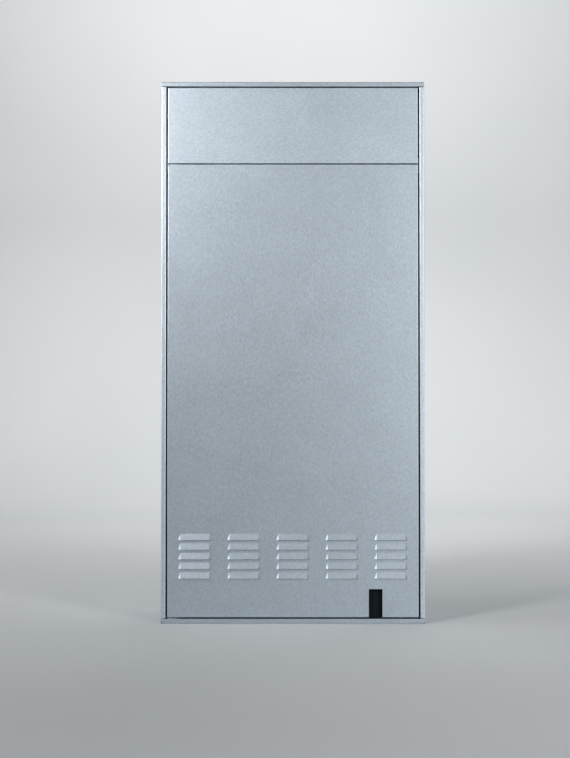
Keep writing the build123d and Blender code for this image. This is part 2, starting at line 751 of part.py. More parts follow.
def door_catches():
    """Magnetic catches on the right post, just behind the strike plates."""
    catches = []
    x1 = POST_INNER
    for z in CATCH_HEIGHTS:
        half = CATCH_LENGTH / 2
        y0 = PANEL_BACK + STRIKE_THICKNESS + SEAT
        body = block(x1 - CATCH_WIDTH, x1, y0, POST_END, z - half, z + half)
        slot = block(x1 - CATCH_WIDTH + 2, x1 - 4, y0 - CUT, y0 + 1, z - 3, z + 3)
        catches.append(body - slot)
    return catches


# Wall bracket and chassis

def mounting_bracket():
    """Channel on the back sheet that the chassis hangs on."""
    z1 = BRACKET_BASE + BRACKET_HEIGHT
    section = folded(
        [
            (BACK_SHEET_FRONT, BRACKET_BASE), (CHASSIS_BACK, BRACKET_BASE),
            (CHASSIS_BACK, z1), (BACK_SHEET_FRONT, z1),
        ],
        Side.RIGHT,
    )
    return across(section, -BRACKET_HALF, BRACKET_HALF)


def chassis_plate():
    """Plate that carries the working parts, its side edges turned back to the wall."""
    flange_back = CHASSIS_FRONT + CHASSIS_FLANGE
    section = folded(
        [
            (-CHASSIS_HALF, flange_back), (-CHASSIS_HALF, CHASSIS_FRONT),
            (CHASSIS_HALF, CHASSIS_FRONT), (CHASSIS_HALF, flange_back),
        ],
        Side.LEFT,
    )
    plate = upright(section, CHASSIS_BASE, CHASSIS_TOP)
    half_x = CHASSIS_SLOT_LENGTH / 2
    half_z = CHASSIS_SLOT_WIDTH / 2
    for x in (-CHASSIS_SLOT_X, CHASSIS_SLOT_X):
        for z in CHASSIS_SLOT_HEIGHTS:
            y0 = CHASSIS_FRONT - CUT
            plate -= block(x - half_x, x + half_x, y0, CHASSIS_BACK + CUT, z - half_z, z + half_z)
    return plate


def chassis_nuts():
    """Nuts that hold the chassis to the wall bracket."""
    nuts = []
    z = BRACKET_BASE + BRACKET_HEIGHT / 2
    for x in CHASSIS_NUT_X:
        nuts.append(facing(x, CHASSIS_FRONT, z) * hexagon(0, 0, 0, CHASSIS_NUT_LENGTH, NUT_FLAT))
    return nuts


# Heat exchanger, burner and flue

def exchanger_shell():
    """Drum lying on its back, with pipe bosses, a flue plinth, a drain socket and rear feet."""
    drum = facing(0, EXCHANGER_BACK, EXCHANGER_Z)
    length = EXCHANGER_BACK - EXCHANGER_FRONT
    body = drum * prism(0, length, EXCHANGER_RADIUS, DRUM_SIDES)
    flange_radius = EXCHANGER_RADIUS + EXCHANGER_FLANGE
    body += drum * prism(length - FLANGE_THICKNESS, length, flange_radius, DRUM_SIDES)
    boss_flat = HEATING_PIPE_RADIUS + NUT_MARGIN
    for x in (FLOW_X, RETURN_X):
        body += hexagon(x, PIPE_Y, RISER_TOP, EXCHANGER_Z, boss_flat)
    half = FLUE_RADIUS + FLUE_WALL + PLINTH_MARGIN
    body += block(-half, half, FLUE_Y - half, FLUE_Y + half, EXCHANGER_Z, PLINTH_TOP)
    body += hexagon(TRAP_X, TRAP_Y, DRAIN_Z, EXCHANGER_Z, HOSE_RADIUS + 2)
    for z in (-FOOT_SPREAD, FOOT_SPREAD):
        foot_z = EXCHANGER_Z + z
        z0 = foot_z - FOOT_THICKNESS / 2
        z1 = foot_z + FOOT_THICKNESS / 2
        body += block(-FOOT_HALF, FOOT_HALF, EXCHANGER_BACK - CUT, CHASSIS_FRONT, z0, z1)
    body -= drum * prism(EXCHANGER_WALL, length + CUT, EXCHANGER_RADIUS - 2 * EXCHANGER_WALL, 16)
    body -= Pos(0, FLUE_Y, 0) * prism(EXCHANGER_Z, PLINTH_TOP + CUT, FLUE_RADIUS - FLUE_WALL, 12)
    return body


def burner_door():
    """Cast cover on the front of the drum with the mixture inlet that rises from the fan."""
    place = facing(0, EXCHANGER_FRONT, EXCHANGER_Z)
    cover = prism(0, BURNER_DOOR_THICKNESS, EXCHANGER_RADIUS, DRUM_SIDES)
    half = INLET_WIDTH / 2
    top = BURNER_DOOR_THICKNESS + INLET_DEPTH
    drop = EXCHANGER_Z - FAN_TOP
    channel = Polygon(
        (-half, -drop), (half, -drop), (half, half / 2),
        (half / 2, half), (-half / 2, half), (-half, half / 2), align=None,
    )
    cover += extrude(channel, top)
    passage = block(
        -half + INLET_WALL, half - INLET_WALL, -drop - CUT, half / 2,
        BURNER_DOOR_THICKNESS, top - INLET_WALL,
    )
    cover -= passage
    for angle in PAD_ANGLES:
        pad = Pos(PAD_RADIUS, 0, BURNER_DOOR_THICKNESS + PAD_HEIGHT / 2) * Box(34, 16, PAD_HEIGHT)
        cover += Rot(0, 0, angle) * pad
    return place * cover


def burner_door_nuts():
    """Flanged nuts round the burner cover."""
    place = facing(0, EXCHANGER_FRONT - BURNER_DOOR_THICKNESS, EXCHANGER_Z)
    nuts = []
    for index in range(BURNER_NUTS):
        turn = Rot(0, 0, index * 360 / BURNER_NUTS)
        nut = hexagon(EXCHANGER_RADIUS - BURNER_NUT_INSET, 0, 0, BURNER_NUT_LENGTH, NUT_FLAT)
        nuts.append(place * turn * nut)
    return nuts


def burner():
    """Closed perforated-metal burner that stands into the drum."""
    place = facing(0, EXCHANGER_FRONT, EXCHANGER_Z)
    length = (EXCHANGER_BACK - EXCHANGER_FRONT) * BURNER_DEPTH_SHARE
    return place * prism(-length, 0, BURNER_RADIUS, 16)


def ignition_electrode():
    """Electrode holder on the burner cover with its ceramic stem and nut plate."""
    front = EXCHANGER_FRONT - BURNER_DOOR_THICKNESS - PAD_HEIGHT
    angle = math.radians(PAD_ANGLES[0])
    x = PAD_RADIUS * math.cos(angle)
    z = EXCHANGER_Z + PAD_RADIUS * math.sin(angle)
    stem = prism(0, 18, 4.5, 8) + Pos(0, 0, 1.5) * Box(24, 9, 3)
    return facing(x, front, z) * stem


def ignition_transformer():
    """Moulded ignition unit on the chassis, above the drum."""
    z0 = EXCHANGER_Z + EXCHANGER_RADIUS
    z1 = z0 + IGNITION_HEIGHT
    x0 = JACKET_RADIUS + CHASSIS_FLANGE
    y0 = CHASSIS_FRONT - IGNITION_DEPTH
    body = block(x0, x0 + IGNITION_WIDTH, y0, CHASSIS_FRONT, z0, z1)
    body = chamfer(body.edges().group_by(Axis.Y)[0], 3)
    for x in (x0 + IGNITION_WIDTH / 4, x0 + IGNITION_WIDTH * 3 / 4):
        body += facing(x, y0, (z0 + z1) / 2) * prism(0, 8, 5, 8)
    return body


def flue_adapter():
    """Concentric flue socket: the flue tube inside an air jacket with a closed base."""
    top = HEIGHT - SEAT
    axis = Pos(0, FLUE_Y, 0)
    body = axis * prism(JACKET_BASE, top, JACKET_RADIUS, JACKET_SIDES)
    body -= axis * prism(JACKET_BASE + 2 * FLUE_WALL, top + CUT, JACKET_RADIUS - 2 * FLUE_WALL, 24)
    body += axis * prism(PLINTH_TOP + SEAT, top, FLUE_RADIUS + FLUE_WALL, 24)
    body -= axis * disc(PLINTH_TOP, top + CUT, FLUE_RADIUS)
    plug = prism(JACKET_RADIUS - 3, JACKET_RADIUS + TEST_PLUG_REACH, 6, 6)
    body += facing(0, FLUE_Y, HEIGHT - TEST_PLUG_DROP) * plug
    return body


# Fan, gas valve and air path

def scroll():
    """Outline of the fan's spiral, in four quarter arcs, with its outlet rising on the left."""
    step = (SCROLL_END - SCROLL_START) / 4
    radii = [SCROLL_START + index * step for index in range(5)]
    corners = [(-radii[0], 0), (0, radii[1]), (radii[2], 0), (0, -radii[3]), (-radii[4], 0)]
    edges = []
    for index in range(4):
        radius = (radii[index] + radii[index + 1]) / 2
        edges.append(RadiusArc(corners[index], corners[index + 1], radius))
    edges.append(Line(corners[4], corners[0]))
    outlet_x = -SCROLL_END + FAN_OUTLET / 2
    outlet = Pos(outlet_x, FAN_OUTLET_HEIGHT / 2) * Rectangle(FAN_OUTLET, FAN_OUTLET_HEIGHT)
    return make_face(edges) + outlet


def fan_housing():
    """Cast scroll with the inlet eye at the back and the outlet flange on top."""
    height = FAN_OUTLET_HEIGHT
    body = extrude(scroll(), FAN_DEPTH)
    outlet_x = -SCROLL_END + FAN_OUTLET / 2
    body += Pos(outlet_x, height - 3, FAN_DEPTH / 2) * Box(FAN_OUTLET + 8, 6, FAN_DEPTH - 6)
    body -= prism(FAN_WALL, FAN_DEPTH - FAN_WALL, IMPELLER_RADIUS + RUNNING_GAP, 16)
    half = FAN_OUTLET / 2 - 2 * FAN_WALL
    z0 = BURNER_DOOR_THICKNESS
    body -= block(outlet_x - half, outlet_x + half, 0, height + CUT, z0, FAN_DEPTH - 2 * FAN_WALL)
    body -= prism(-CUT, FAN_WALL + CUT, FAN_EYE_RADIUS, 16)
    body -= disc(FAN_DEPTH - FAN_WALL - CUT, FAN_DEPTH + CUT, FAN_SHAFT_RADIUS + SHAFT_CLEARANCE)
    return facing(FAN_X, FAN_BACK, FAN_Z) * body


def fan_impeller():
    """Backward-curved wheel on its shaft, between the eye and the motor."""
    base = FAN_WALL + RUNNING_GAP
    top = FAN_DEPTH - FAN_WALL - RUNNING_GAP
    wheel = prism(top - 2, top, IMPELLER_RADIUS - RUNNING_GAP, 20)
    blade_length = IMPELLER_RADIUS - FAN_EYE_RADIUS - 2 * RUNNING_GAP
    blade = Pos((IMPELLER_RADIUS + FAN_EYE_RADIUS) / 2 - RUNNING_GAP, 0, (base + top) / 2)
    blade = blade * Rot(0, 0, -28) * Box(blade_length, 1.2, top - base)
    for index in range(IMPELLER_BLADES):
        wheel += Rot(0, 0, index * 360 / IMPELLER_BLADES) * blade
    wheel += disc(top - 12, FAN_DEPTH - CUT, FAN_SHAFT_RADIUS)
    return facing(FAN_X, FAN_BACK, FAN_Z) * wheel


def fan_motor():
    """Motor cap in front of the scroll, with its plug block."""
    depth = FAN_FRONT - BAY_FRONT - SEAT
    cap = prism(0, depth, FAN_MOTOR_RADIUS, 24)
    cap += Pos(FAN_MOTOR_RADIUS + 6, 0, depth / 2) * Box(16, 22, depth)
    return facing(FAN_X, FAN_FRONT, FAN_Z) * cap


def venturi():
    """Mixing throat behind the fan's eye, with a flange against the scroll."""
    body = prism(0, VENTURI_LENGTH, VENTURI_RADIUS, 8)
    body += prism(0, FLANGE_THICKNESS, VENTURI_RADIUS + 8, 8)
    body -= prism(-CUT, VENTURI_LENGTH + CUT, THROAT_RADIUS, 12)
    return Pos(FAN_X, FAN_BACK + SEAT, FAN_Z) * Rot(-90, 0, 0) * body


def mixture_pipe():
    """Gas tube from the gas valve's outlet arm into the side of the venturi."""
    y = FAN_BACK + VENTURI_LENGTH / 2
    start = GAS_X + ARM_HALF
    end = FAN_X - VENTURI_RADIUS
    tube = prism(SEAT, end - start - SEAT, MIXTURE_PIPE_RADIUS, PIPE_SIDES)
    return Pos(start, y, FAN_Z) * Rot(0, 90, 0) * tube


def gas_valve():
    """Cast gas valve with two coils, an outlet arm on top and a flat inlet face below."""
    x0 = GAS_X - GAS_VALVE_HALF
    x1 = GAS_X + GAS_VALVE_HALF
    body = block(x0, x1, GAS_VALVE_FRONT, GAS_VALVE_BACK, GAS_VALVE_BASE, GAS_VALVE_TOP)
    body = chamfer(body.edges().filter_by(Axis.Z), 8)
    arm_y = FAN_BACK + VENTURI_LENGTH / 2
    arm_top = FAN_Z + ARM_HALF
    arm_x0 = GAS_X - ARM_HALF
    arm_x1 = GAS_X + ARM_HALF
    neck_y = GAS_VALVE_FRONT + 8
    body += block(arm_x0, arm_x1, neck_y, neck_y + 32, GAS_VALVE_TOP, arm_top)
    body += block(arm_x0, arm_x1, arm_y - ARM_HALF, neck_y, FAN_Z - ARM_HALF, arm_top)
    coil_y = GAS_VALVE_FRONT - COIL_DEPTH
    for z in COIL_HEIGHTS:
        z0 = GAS_VALVE_BASE + z - COIL_HALF
        coil = block(x0 + 10, x0 + 10 + COIL_WIDTH, coil_y, GAS_VALVE_FRONT, z0, z0 + 2 * COIL_HALF)
        body += chamfer(coil.edges().filter_by(Axis.Y), 5)
    body += facing(x1 - 14, GAS_VALVE_FRONT, GAS_VALVE_BASE + 46) * hexagon(0, 0, 0, 12, 7)
    return body


def intake_duct():
    """Moulded square elbow from the silencer to the back of the venturi."""
    half = AIR_DUCT_SIZE / 2
    y0 = VENTURI_BACK + 2 * SEAT
    y1 = y0 + AIR_DUCT_SIZE
    x0 = FAN_X - half
    x1 = SILENCER_X - SEAT
    body = block(x0, x1, y0, y1, FAN_Z - half, FAN_Z + half)
    outer_corner = body.edges().filter_by(Axis.Z).group_by(Axis.X)[0].sort_by(Axis.Y)[-1]
    body = chamfer(outer_corner, half)
    passage = half - DUCT_WALL
    z0 = FAN_Z - passage
    z1 = FAN_Z + passage
    inner = block(FAN_X - passage, x1, y0 + DUCT_WALL, y1 - DUCT_WALL, z0, z1)
    inner_corner = inner.edges().filter_by(Axis.Z).group_by(Axis.X)[0].sort_by(Axis.Y)[-1]
    inner = chamfer(inner_corner, half)
    body -= inner
    body -= block(x1 - CUT, x1 + CUT, y0 + DUCT_WALL, y1 - DUCT_WALL, z0, z1)
    body -= Pos(FAN_X, y0, FAN_Z) * Box(2 * THROAT_RADIUS, 4 * DUCT_WALL, 2 * THROAT_RADIUS)
    return body


def intake_silencer():
    """Moulded air box at the right, held on the chassis by two feet."""
    y1 = CHASSIS_FRONT - EXCHANGER_STANDOFF
    y0 = y1 - SILENCER_DEPTH
    x1 = SILENCER_X + SILENCER_WIDTH
    wall = BOX_WALL
    box = block(SILENCER_X, x1, y0, y1, SILENCER_BASE, SILENCER_TOP)
    box = chamfer(box.edges().filter_by(Axis.Z), SILENCER_CHAMFER)
    z0 = SILENCER_BASE + wall
    z1 = SILENCER_TOP - wall
    inner = block(SILENCER_X + wall, x1 - wall, y0 + wall, y1 - wall, z0, z1)
    box -= chamfer(inner.edges().filter_by(Axis.Z), SILENCER_CHAMFER)
    middle = (SILENCER_X + x1) / 2
    for z in (SILENCER_BASE + SILENCER_FOOT_LOW, SILENCER_TOP - SILENCER_FOOT_HIGH):
        box += block(middle - 15, middle + 15, y1, CHASSIS_FRONT, z - 10, z + 10)
    return box


def air_duct():
    """Moulded square duct that brings outside air from the flue jacket down to the silencer."""
    half = AIR_DUCT_SIZE / 2
    x = SILENCER_X + SILENCER_WIDTH / 2
    x0 = JACKET_RADIUS + SEAT
    z0 = SILENCER_TOP + SEAT
    z1 = AIR_DUCT_Z + half
    y0 = FLUE_Y - half
    y1 = FLUE_Y + half
    outline = Polygon(
        (x0, z1 - 2 * half), (x - half, z1 - 2 * half), (x - half, z0), (x + half, z0),
        (x + half, z1 - half), (x, z1), (x0, z1), align=None,
    )
    outer = Plane.XZ.offset(-y1) * extrude(outline, y1 - y0)
    passage = offset(outline, -DUCT_WALL)
    inner = Plane.XZ.offset(-y1 + DUCT_WALL) * extrude(passage, y1 - y0 - 2 * DUCT_WALL)
    mouth = half - DUCT_WALL
    outer -= inner
    outer -= block(x0 - CUT, x0 + 4, FLUE_Y - mouth, FLUE_Y + mouth, AIR_DUCT_Z - mouth, AIR_DUCT_Z + mouth)
    outer -= block(x - mouth, x + mouth, FLUE_Y - mouth, FLUE_Y + mouth, z0 - CUT, z0 + 4)
    return outer


# Expansion vessel

def expansion_vessel():
    """Flat pressed vessel: two deep shells joined in a crimped seam round the middle."""
    z1 = VESSEL_BASE + VESSEL_HEIGHT
    shell = block(VESSEL_LEFT, VESSEL_RIGHT, VESSEL_FRONT, VESSEL_BACK, VESSEL_BASE, z1)
    shell = fillet(shell.edges().filter_by(Axis.Z), VESSEL_RADIUS)
    seam_z = VESSEL_BASE + VESSEL_HEIGHT / 2
    seam = block(
        VESSEL_LEFT - VESSEL_SEAM, VESSEL_RIGHT + VESSEL_SEAM,
        VESSEL_FRONT - VESSEL_SEAM, VESSEL_BACK + VESSEL_SEAM, seam_z - 5, seam_z + 5,
    )
    shell += chamfer(seam.edges().filter_by(Axis.Z), VESSEL_RADIUS * 0.6)
    shell += hexagon(VESSEL_X, PIPE_Y, VESSEL_BASE - 8, VESSEL_BASE, 9)
    shell += hexagon(VESSEL_X, VESSEL_Y, z1, z1 + 12, 5)
    return shell


def vessel_straps():
    """Two steel bands that tie the vessel back to the wall of the cabinet."""
    straps = []
    gap = SEAT
    for z in (VESSEL_BASE + STRAP_INSET, VESSEL_BASE + VESSEL_HEIGHT - STRAP_INSET):
        outer = block(
            VESSEL_LEFT - gap - SHEET, VESSEL_RIGHT + gap + SHEET,
            VESSEL_FRONT - gap - SHEET, CHASSIS_FRONT, z, z + STRAP_WIDTH,
        )
        outer = chamfer(outer.edges().filter_by(Axis.Z).group_by(Axis.Y)[0], STRAP_CORNER + SHEET / 2)
        inner = block(
            VESSEL_LEFT - gap, VESSEL_RIGHT + gap,
            VESSEL_FRONT - gap, CHASSIS_FRONT + CUT, z - CUT, z + STRAP_WIDTH + CUT,
        )
        inner = chamfer(inner.edges().filter_by(Axis.Z).group_by(Axis.Y)[0], STRAP_CORNER)
        straps.append(outer - inner)
    return straps


def vessel_pipe():
    """Small pipe down from the vessel, an elbow block, and across to the flow block."""
    x1 = FLOW_X - BLOCK_MARGIN - SEAT
    z = BLOCK_TOP - 2 * SMALL_PIPE_RADIUS
    top = VESSEL_BASE - 8 - SEAT
    pipe = copper_pipe(VESSEL_X, z, top, SMALL_PIPE_RADIUS)
    half = SMALL_PIPE_RADIUS + 3
    pipe += block(VESSEL_X - half, VESSEL_X + half, PIPE_Y - half, PIPE_Y + half, z - half, z + half)
    run = prism(0, x1 - VESSEL_X, SMALL_PIPE_RADIUS, PIPE_SIDES)
    pipe += Pos(VESSEL_X, PIPE_Y, z) * Rot(0, 90, 0) * run
    return pipe


# Water block, pump and plate exchanger

def water_block_left():
    """Moulded flow block with the diverter chamber and the hot outlet."""
    x0 = FLOW_X - BLOCK_MARGIN
    x1 = HOT_X + BLOCK_END
    body = block(x0, x1, BLOCK_FRONT, BLOCK_BACK, BLOCK_BASE, BLOCK_TOP)
    body = chamfer(body.edges().filter_by(Axis.Y), 7)
    port_z = BLOCK_BASE + 8
    port_x = PORT_REACH - PLATE_HALF
    body += block(x1 - CUT, port_x, BLOCK_FRONT, BLOCK_BACK, port_z, port_z + PORT_REACH)
    bore = DIVERTER_STEM_RADIUS + SHAFT_CLEARANCE
    body -= facing(FLOW_X, BLOCK_FRONT, PUMP_Z) * prism(-DIVERTER_SEAT - SEAT, CUT, bore + SEAT, 8)
    return body


def water_block_right():
    """Moulded return block between the cold inlet and the pump."""
    x0 = COLD_X - BLOCK_END
    x1 = RETURN_X - VOLUTE_RADIUS
    body = block(x0, x1 - SEAT, BLOCK_FRONT, BLOCK_BACK, BLOCK_BASE, BLOCK_TOP)
    port_z = BLOCK_BASE + 8
    port_x = PLATE_HALF - PORT_REACH
    body += block(port_x, x0 + CUT, BLOCK_FRONT, BLOCK_BACK, port_z, port_z + PORT_REACH)
    return body


def pump_place():
    """The pump's axis, with the volute's front face at the local origin."""
    return facing(RETURN_X, PIPE_Y - VOLUTE_DEPTH / 2, PUMP_Z)


def pump_volute():
    """Cast pump chamber with an inlet leg below and an outlet leg above."""
    size = 2 * VOLUTE_RADIUS
    body = Pos(0, 0, -VOLUTE_DEPTH / 2) * Box(size, size, VOLUTE_DEPTH)
    body = chamfer(body.edges().filter_by(Axis.Z), VOLUTE_RADIUS * 0.45)
    leg_half = HEATING_PIPE_RADIUS + 3
    leg_ends = ((VOLUTE_RADIUS, BLOCK_TOP - PUMP_Z + VOLUTE_LEG), (BLOCK_BASE - PUMP_Z, -VOLUTE_RADIUS))
    for y0, y1 in leg_ends:
        middle = -VOLUTE_DEPTH / 2
        body += block(-leg_half, leg_half, y0, y1, middle - leg_half, middle + leg_half)
    body -= prism(-VOLUTE_DEPTH + VOLUTE_WALL, -VOLUTE_WALL, ROTOR_RADIUS + RUNNING_GAP, 16)
    body -= disc(-VOLUTE_WALL - CUT, CUT, ROTOR_SHAFT_RADIUS + SHAFT_CLEARANCE)
    return pump_place() * body


def pump_rotor():
    """Vaned wheel and shaft inside the pump chamber."""
    back = -VOLUTE_DEPTH + VOLUTE_WALL + RUNNING_GAP
    front = -VOLUTE_WALL - RUNNING_GAP
    wheel = prism(front - 3, front, ROTOR_RADIUS - RUNNING_GAP, 16)
    vane = Pos(ROTOR_RADIUS / 2 + 4, 0, (back + front) / 2) * Rot(0, 0, -20)
    vane = vane * Box(ROTOR_RADIUS - 16, 2, front - back)
    for index in range(ROTOR_VANES):
        wheel += Rot(0, 0, index * 360 / ROTOR_VANES) * vane
    wheel += disc(back, -CUT, ROTOR_SHAFT_RADIUS)
    return pump_place() * wheel


def pump_motor():
    """Pump motor can with its terminal box, in front of the volute."""
    body = prism(0, PUMP_MOTOR_LENGTH, PUMP_MOTOR_RADIUS, 24)
    body += Pos(0, PUMP_MOTOR_RADIUS, PUMP_MOTOR_LENGTH / 2) * Box(46, 16, PUMP_MOTOR_LENGTH - 22)
    return pump_place() * body


def plate_exchanger():
    """Brazed plate exchanger between the two water blocks, every second plate standing out."""
    y1 = BLOCK_FRONT - SEAT
    half = PLATE_HALF - PLATE_STEP
    z0 = BLOCK_BASE + PLATE_STEP
    z1 = BLOCK_BASE + PLATE_HEIGHT
    stack = block(-half, half, y1 - PLATE_DEPTH, y1, z0, z1 - PLATE_STEP)
    stack = chamfer(stack.edges().filter_by(Axis.Y), 8)
    pitch = PLATE_DEPTH / PLATE_COUNT
    for index in range(PLATE_COUNT // 2):
        y = y1 - (2 * index + 1) * pitch
        plate = block(-PLATE_HALF, PLATE_HALF, y - pitch / 2, y, BLOCK_BASE, z1)
        stack += chamfer(plate.edges().filter_by(Axis.Y), 8)
    return stack


def diverter_cartridge():
    """Brass guide of the diverter valve, screwed into the flow block."""
    half = CARTRIDGE_LENGTH / 2
    body = hexagon(0, 0, 0, half, 15) + prism(half, CARTRIDGE_LENGTH, 12, 8)
    body -= disc(-CUT, CARTRIDGE_LENGTH + CUT, DIVERTER_STEM_RADIUS + SHAFT_CLEARANCE)
    return facing(FLOW_X, BLOCK_FRONT, PUMP_Z) * body


def diverter_stem():
    """Push rod between the diverter motor and the valve chamber."""
    end = CARTRIDGE_LENGTH + DIVERTER_SEAT
    return facing(FLOW_X, BLOCK_FRONT, PUMP_Z) * disc(-DIVERTER_SEAT, end, DIVERTER_STEM_RADIUS)


def diverter_motor():
    """Small motor clipped over the cartridge, with two side arms."""
    front = CARTRIDGE_LENGTH + DIVERTER_SEAT + DIVERTER_TRAVEL + SEAT
    middle = front + DIVERTER_MOTOR_DEPTH / 2
    body = Pos(0, 0, middle) * Box(DIVERTER_MOTOR_WIDTH, DIVERTER_MOTOR_HEIGHT, DIVERTER_MOTOR_DEPTH)
    body = chamfer(body.edges().filter_by(Axis.Z), 5)
    arm_x = DIVERTER_MOTOR_WIDTH / 2 - 2
    for x in (-arm_x, arm_x):
        body += Pos(x, 0, front / 2) * Box(4, 14, front)
    return facing(FLOW_X, BLOCK_FRONT, PUMP_Z) * body


def safety_valve():
    """Brass relief valve on the right of the pump, with its outlet looking down."""
    start = SAFETY_X - SAFETY_REACH + SEAT
    body = Pos(start, PIPE_Y, PUMP_Z) * Rot(0, 90, 0) * hexagon(0, 0, 0, SAFETY_REACH, 8)
    body += hexagon(SAFETY_X, PIPE_Y, PUMP_Z - 34, PUMP_Z + 14, 12)
    body += facing(SAFETY_X, PIPE_Y, PUMP_Z) * hexagon(0, 0, 0, SAFETY_STEM, 11)
    return body


def safety_knob():
    """Eight-sided relief knob that turns on the front of the safety valve."""
    knob = prism(0, SAFETY_KNOB_LENGTH, SAFETY_KNOB_RADIUS, 8)
    knob = chamfer(knob.edges().group_by(Axis.Z)[-1], 2)
    return facing(SAFETY_X, PIPE_Y - SAFETY_STEM - SEAT, PUMP_Z) * knob


def air_vent():
    """Automatic air vent on top of the return block."""
    x = COLD_X + 2
    body = hexagon(x, PIPE_Y, BLOCK_TOP, BLOCK_TOP + 8, 11)
    body += Pos(x, PIPE_Y, 0) * prism(BLOCK_TOP + 8, BLOCK_TOP + 44, 13, 12)
    body += hexagon(x, PIPE_Y, BLOCK_TOP + 44, BLOCK_TOP + 52, 4)
    return body


# Pipes, nuts and service valves

def copper_pipe(x, z0, z1, radius):
    """Straight pipe in the pipes' plane, solid because both its ends are inside fittings."""
    return Pos(x, PIPE_Y, 0) * prism(z0, z1, radius, PIPE_SIDES)


def valve_body(x, radius):
    """Forged hexagonal body with its union nut above and an open connection tail below."""
    body = hexagon(x, PIPE_Y, VALVE_BASE, VALVE_TOP, VALVE_BODY_FLAT)
    body += hexagon(x, PIPE_Y, VALVE_TOP, NUT_TOP, radius + NUT_MARGIN)
    body += rod(x, PIPE_Y, TAIL_BASE, VALVE_BASE, radius)
    body -= Pos(x, PIPE_Y, 0) * prism(TAIL_BASE - CUT, VALVE_BASE, radius - TAIL_WALL, 12)
    return body


def valve_stem(x):
    """Stem boss in front of a valve body, which carries the lever."""
    start = VALVE_BODY_FLAT
    return facing(x, PIPE_Y, VALVE_AXIS_Z) * hexagon(0, 0, start, STEM_LENGTH, STEM_FLAT)


def valve_lever(x):
    """Quarter-turn lever: an eye over the stem and a blade that hangs down the pipe."""
    half = LEVER_WIDTH / 2
    eye = LEVER_WIDTH * 0.75
    outline = Polygon(
        (-eye, -half), (-half, -eye), (-half, 2 - LEVER_LENGTH), (2 - half, -LEVER_LENGTH),
        (half - 2, -LEVER_LENGTH), (half, 2 - LEVER_LENGTH), (half, -eye), (eye, -half),
        (eye, half), (half, eye), (-half, eye), (-eye, half), align=None,
    )
    lever = extrude(outline, LEVER_THICKNESS)
    lever += hexagon(0, 0, LEVER_THICKNESS, LEVER_THICKNESS + 4, 5)
    return facing(x, PIPE_Y - STEM_LENGTH - SEAT, VALVE_AXIS_Z) * lever


def filling_valve():
    """Filling link between the cold and the return fittings, with a stem in front."""
    z = NUT_TOP + 10
    middle = (COLD_X + RETURN_X) / 2
    x0 = COLD_X + WATER_PIPE_RADIUS
    x1 = RETURN_X - HEATING_PIPE_RADIUS
    link = block(x0, x1, PIPE_Y - 5, PIPE_Y + 5, z - 5, z + 5)
    link += facing(middle, PIPE_Y, z) * hexagon(0, 0, 0, 40, 7)
    return link


def filling_knob():
    """Ribbed filling knob on the front of its stem."""
    z = NUT_TOP + 10
    middle = (COLD_X + RETURN_X) / 2
    knob = prism(0, 12, 11, 8)
    for index in range(4):
        knob += Rot(0, 0, index * 45) * Pos(0, 0, 6) * Box(25, 4, 12)
    return facing(middle, PIPE_Y - 40 - SEAT, z) * knob


# Condensate path

def condensate_trap():
    """Trap body with the pipe socket above, an arm to the chassis and an outlet leg over the slot."""
    top = TRAP_BASE + TRAP_HEIGHT
    body = Pos(TRAP_X, TRAP_Y, 0) * prism(TRAP_BASE, top, TRAP_RADIUS, 16)
    body += hexagon(TRAP_X, TRAP_Y, top, top + TRAP_NECK, HOSE_RADIUS + HOSE_SOCKET_WALL)
    half = SPIGOT_RADIUS + SPIGOT_ELBOW_WALL
    elbow_base = top - LEG_DROP
    elbow_top = elbow_base + 2 * half
    body += block(OUTLET_X - half, TRAP_X, TRAP_Y - half, TRAP_Y + half, elbow_base, elbow_top)
    body += block(OUTLET_X - half, OUTLET_X + half, TRAP_Y, PIPE_Y + half, elbow_base, elbow_top)
    body += rod(OUTLET_X, PIPE_Y, TRAP_BASE - TRAP_CUP_HEIGHT, elbow_base + half, SPIGOT_RADIUS)
    arm_x = ARM_HALF / 2
    body += block(TRAP_X - arm_x, TRAP_X + arm_x, TRAP_Y, CHASSIS_FRONT, CHASSIS_BASE + 1, BLOCK_BASE - 1)
    return body


def trap_cup():
    """Screw-off cleaning cup under the trap, eight-sided for grip."""
    base = TRAP_BASE - TRAP_CUP_HEIGHT
    return Pos(TRAP_X, TRAP_Y, 0) * prism(base, TRAP_BASE - SEAT, TRAP_RADIUS + 1, 8)


def condensate_pipe():
    """Plastic pipe from the drum's drain straight down to the trap."""
    base = TRAP_BASE + TRAP_HEIGHT + TRAP_NECK
    return Pos(TRAP_X, TRAP_Y, 0) * prism(base, DRAIN_Z, HOSE_RADIUS, PIPE_SIDES)


# Control box

def control_box():
    """Moulded tray behind the fascia, with cable slots below and two arms back to the chassis."""
    y0 = FASCIA_BACK
    tray = block(-BOX_HALF, BOX_HALF, y0, BOX_BACK, BOX_BASE, BOX_TOP)
    inner = BOX_HALF - BOX_WALL
    tray -= block(-inner, inner, y0 - CUT, BOX_BACK - BOX_WALL, BOX_BASE + BOX_WALL, BOX_TOP - BOX_WALL)
    slot_back = BOX_BACK - 3 * BOX_WALL
    slot_front = slot_back - CABLE_SLOT_DEPTH
    for x in CABLE_SLOT_X:
        slot_end = x + CABLE_SLOT_WIDTH
        tray -= block(x, slot_end, slot_front, slot_back, BOX_BASE - CUT, BOX_BASE + BOX_WALL + CUT)
    arm_x = BOX_HALF + BOX_ARM_THICKNESS
    arm_base = BOX_BASE + 3 * BOX_WALL
    arm_top = arm_base + BOX_ARM_HEIGHT
    arm = block(BOX_HALF, arm_x, FASCIA_BACK + BOARD_STANDOFF, CHASSIS_FRONT, arm_base, arm_top)
    return [tray] + both_sides(arm)


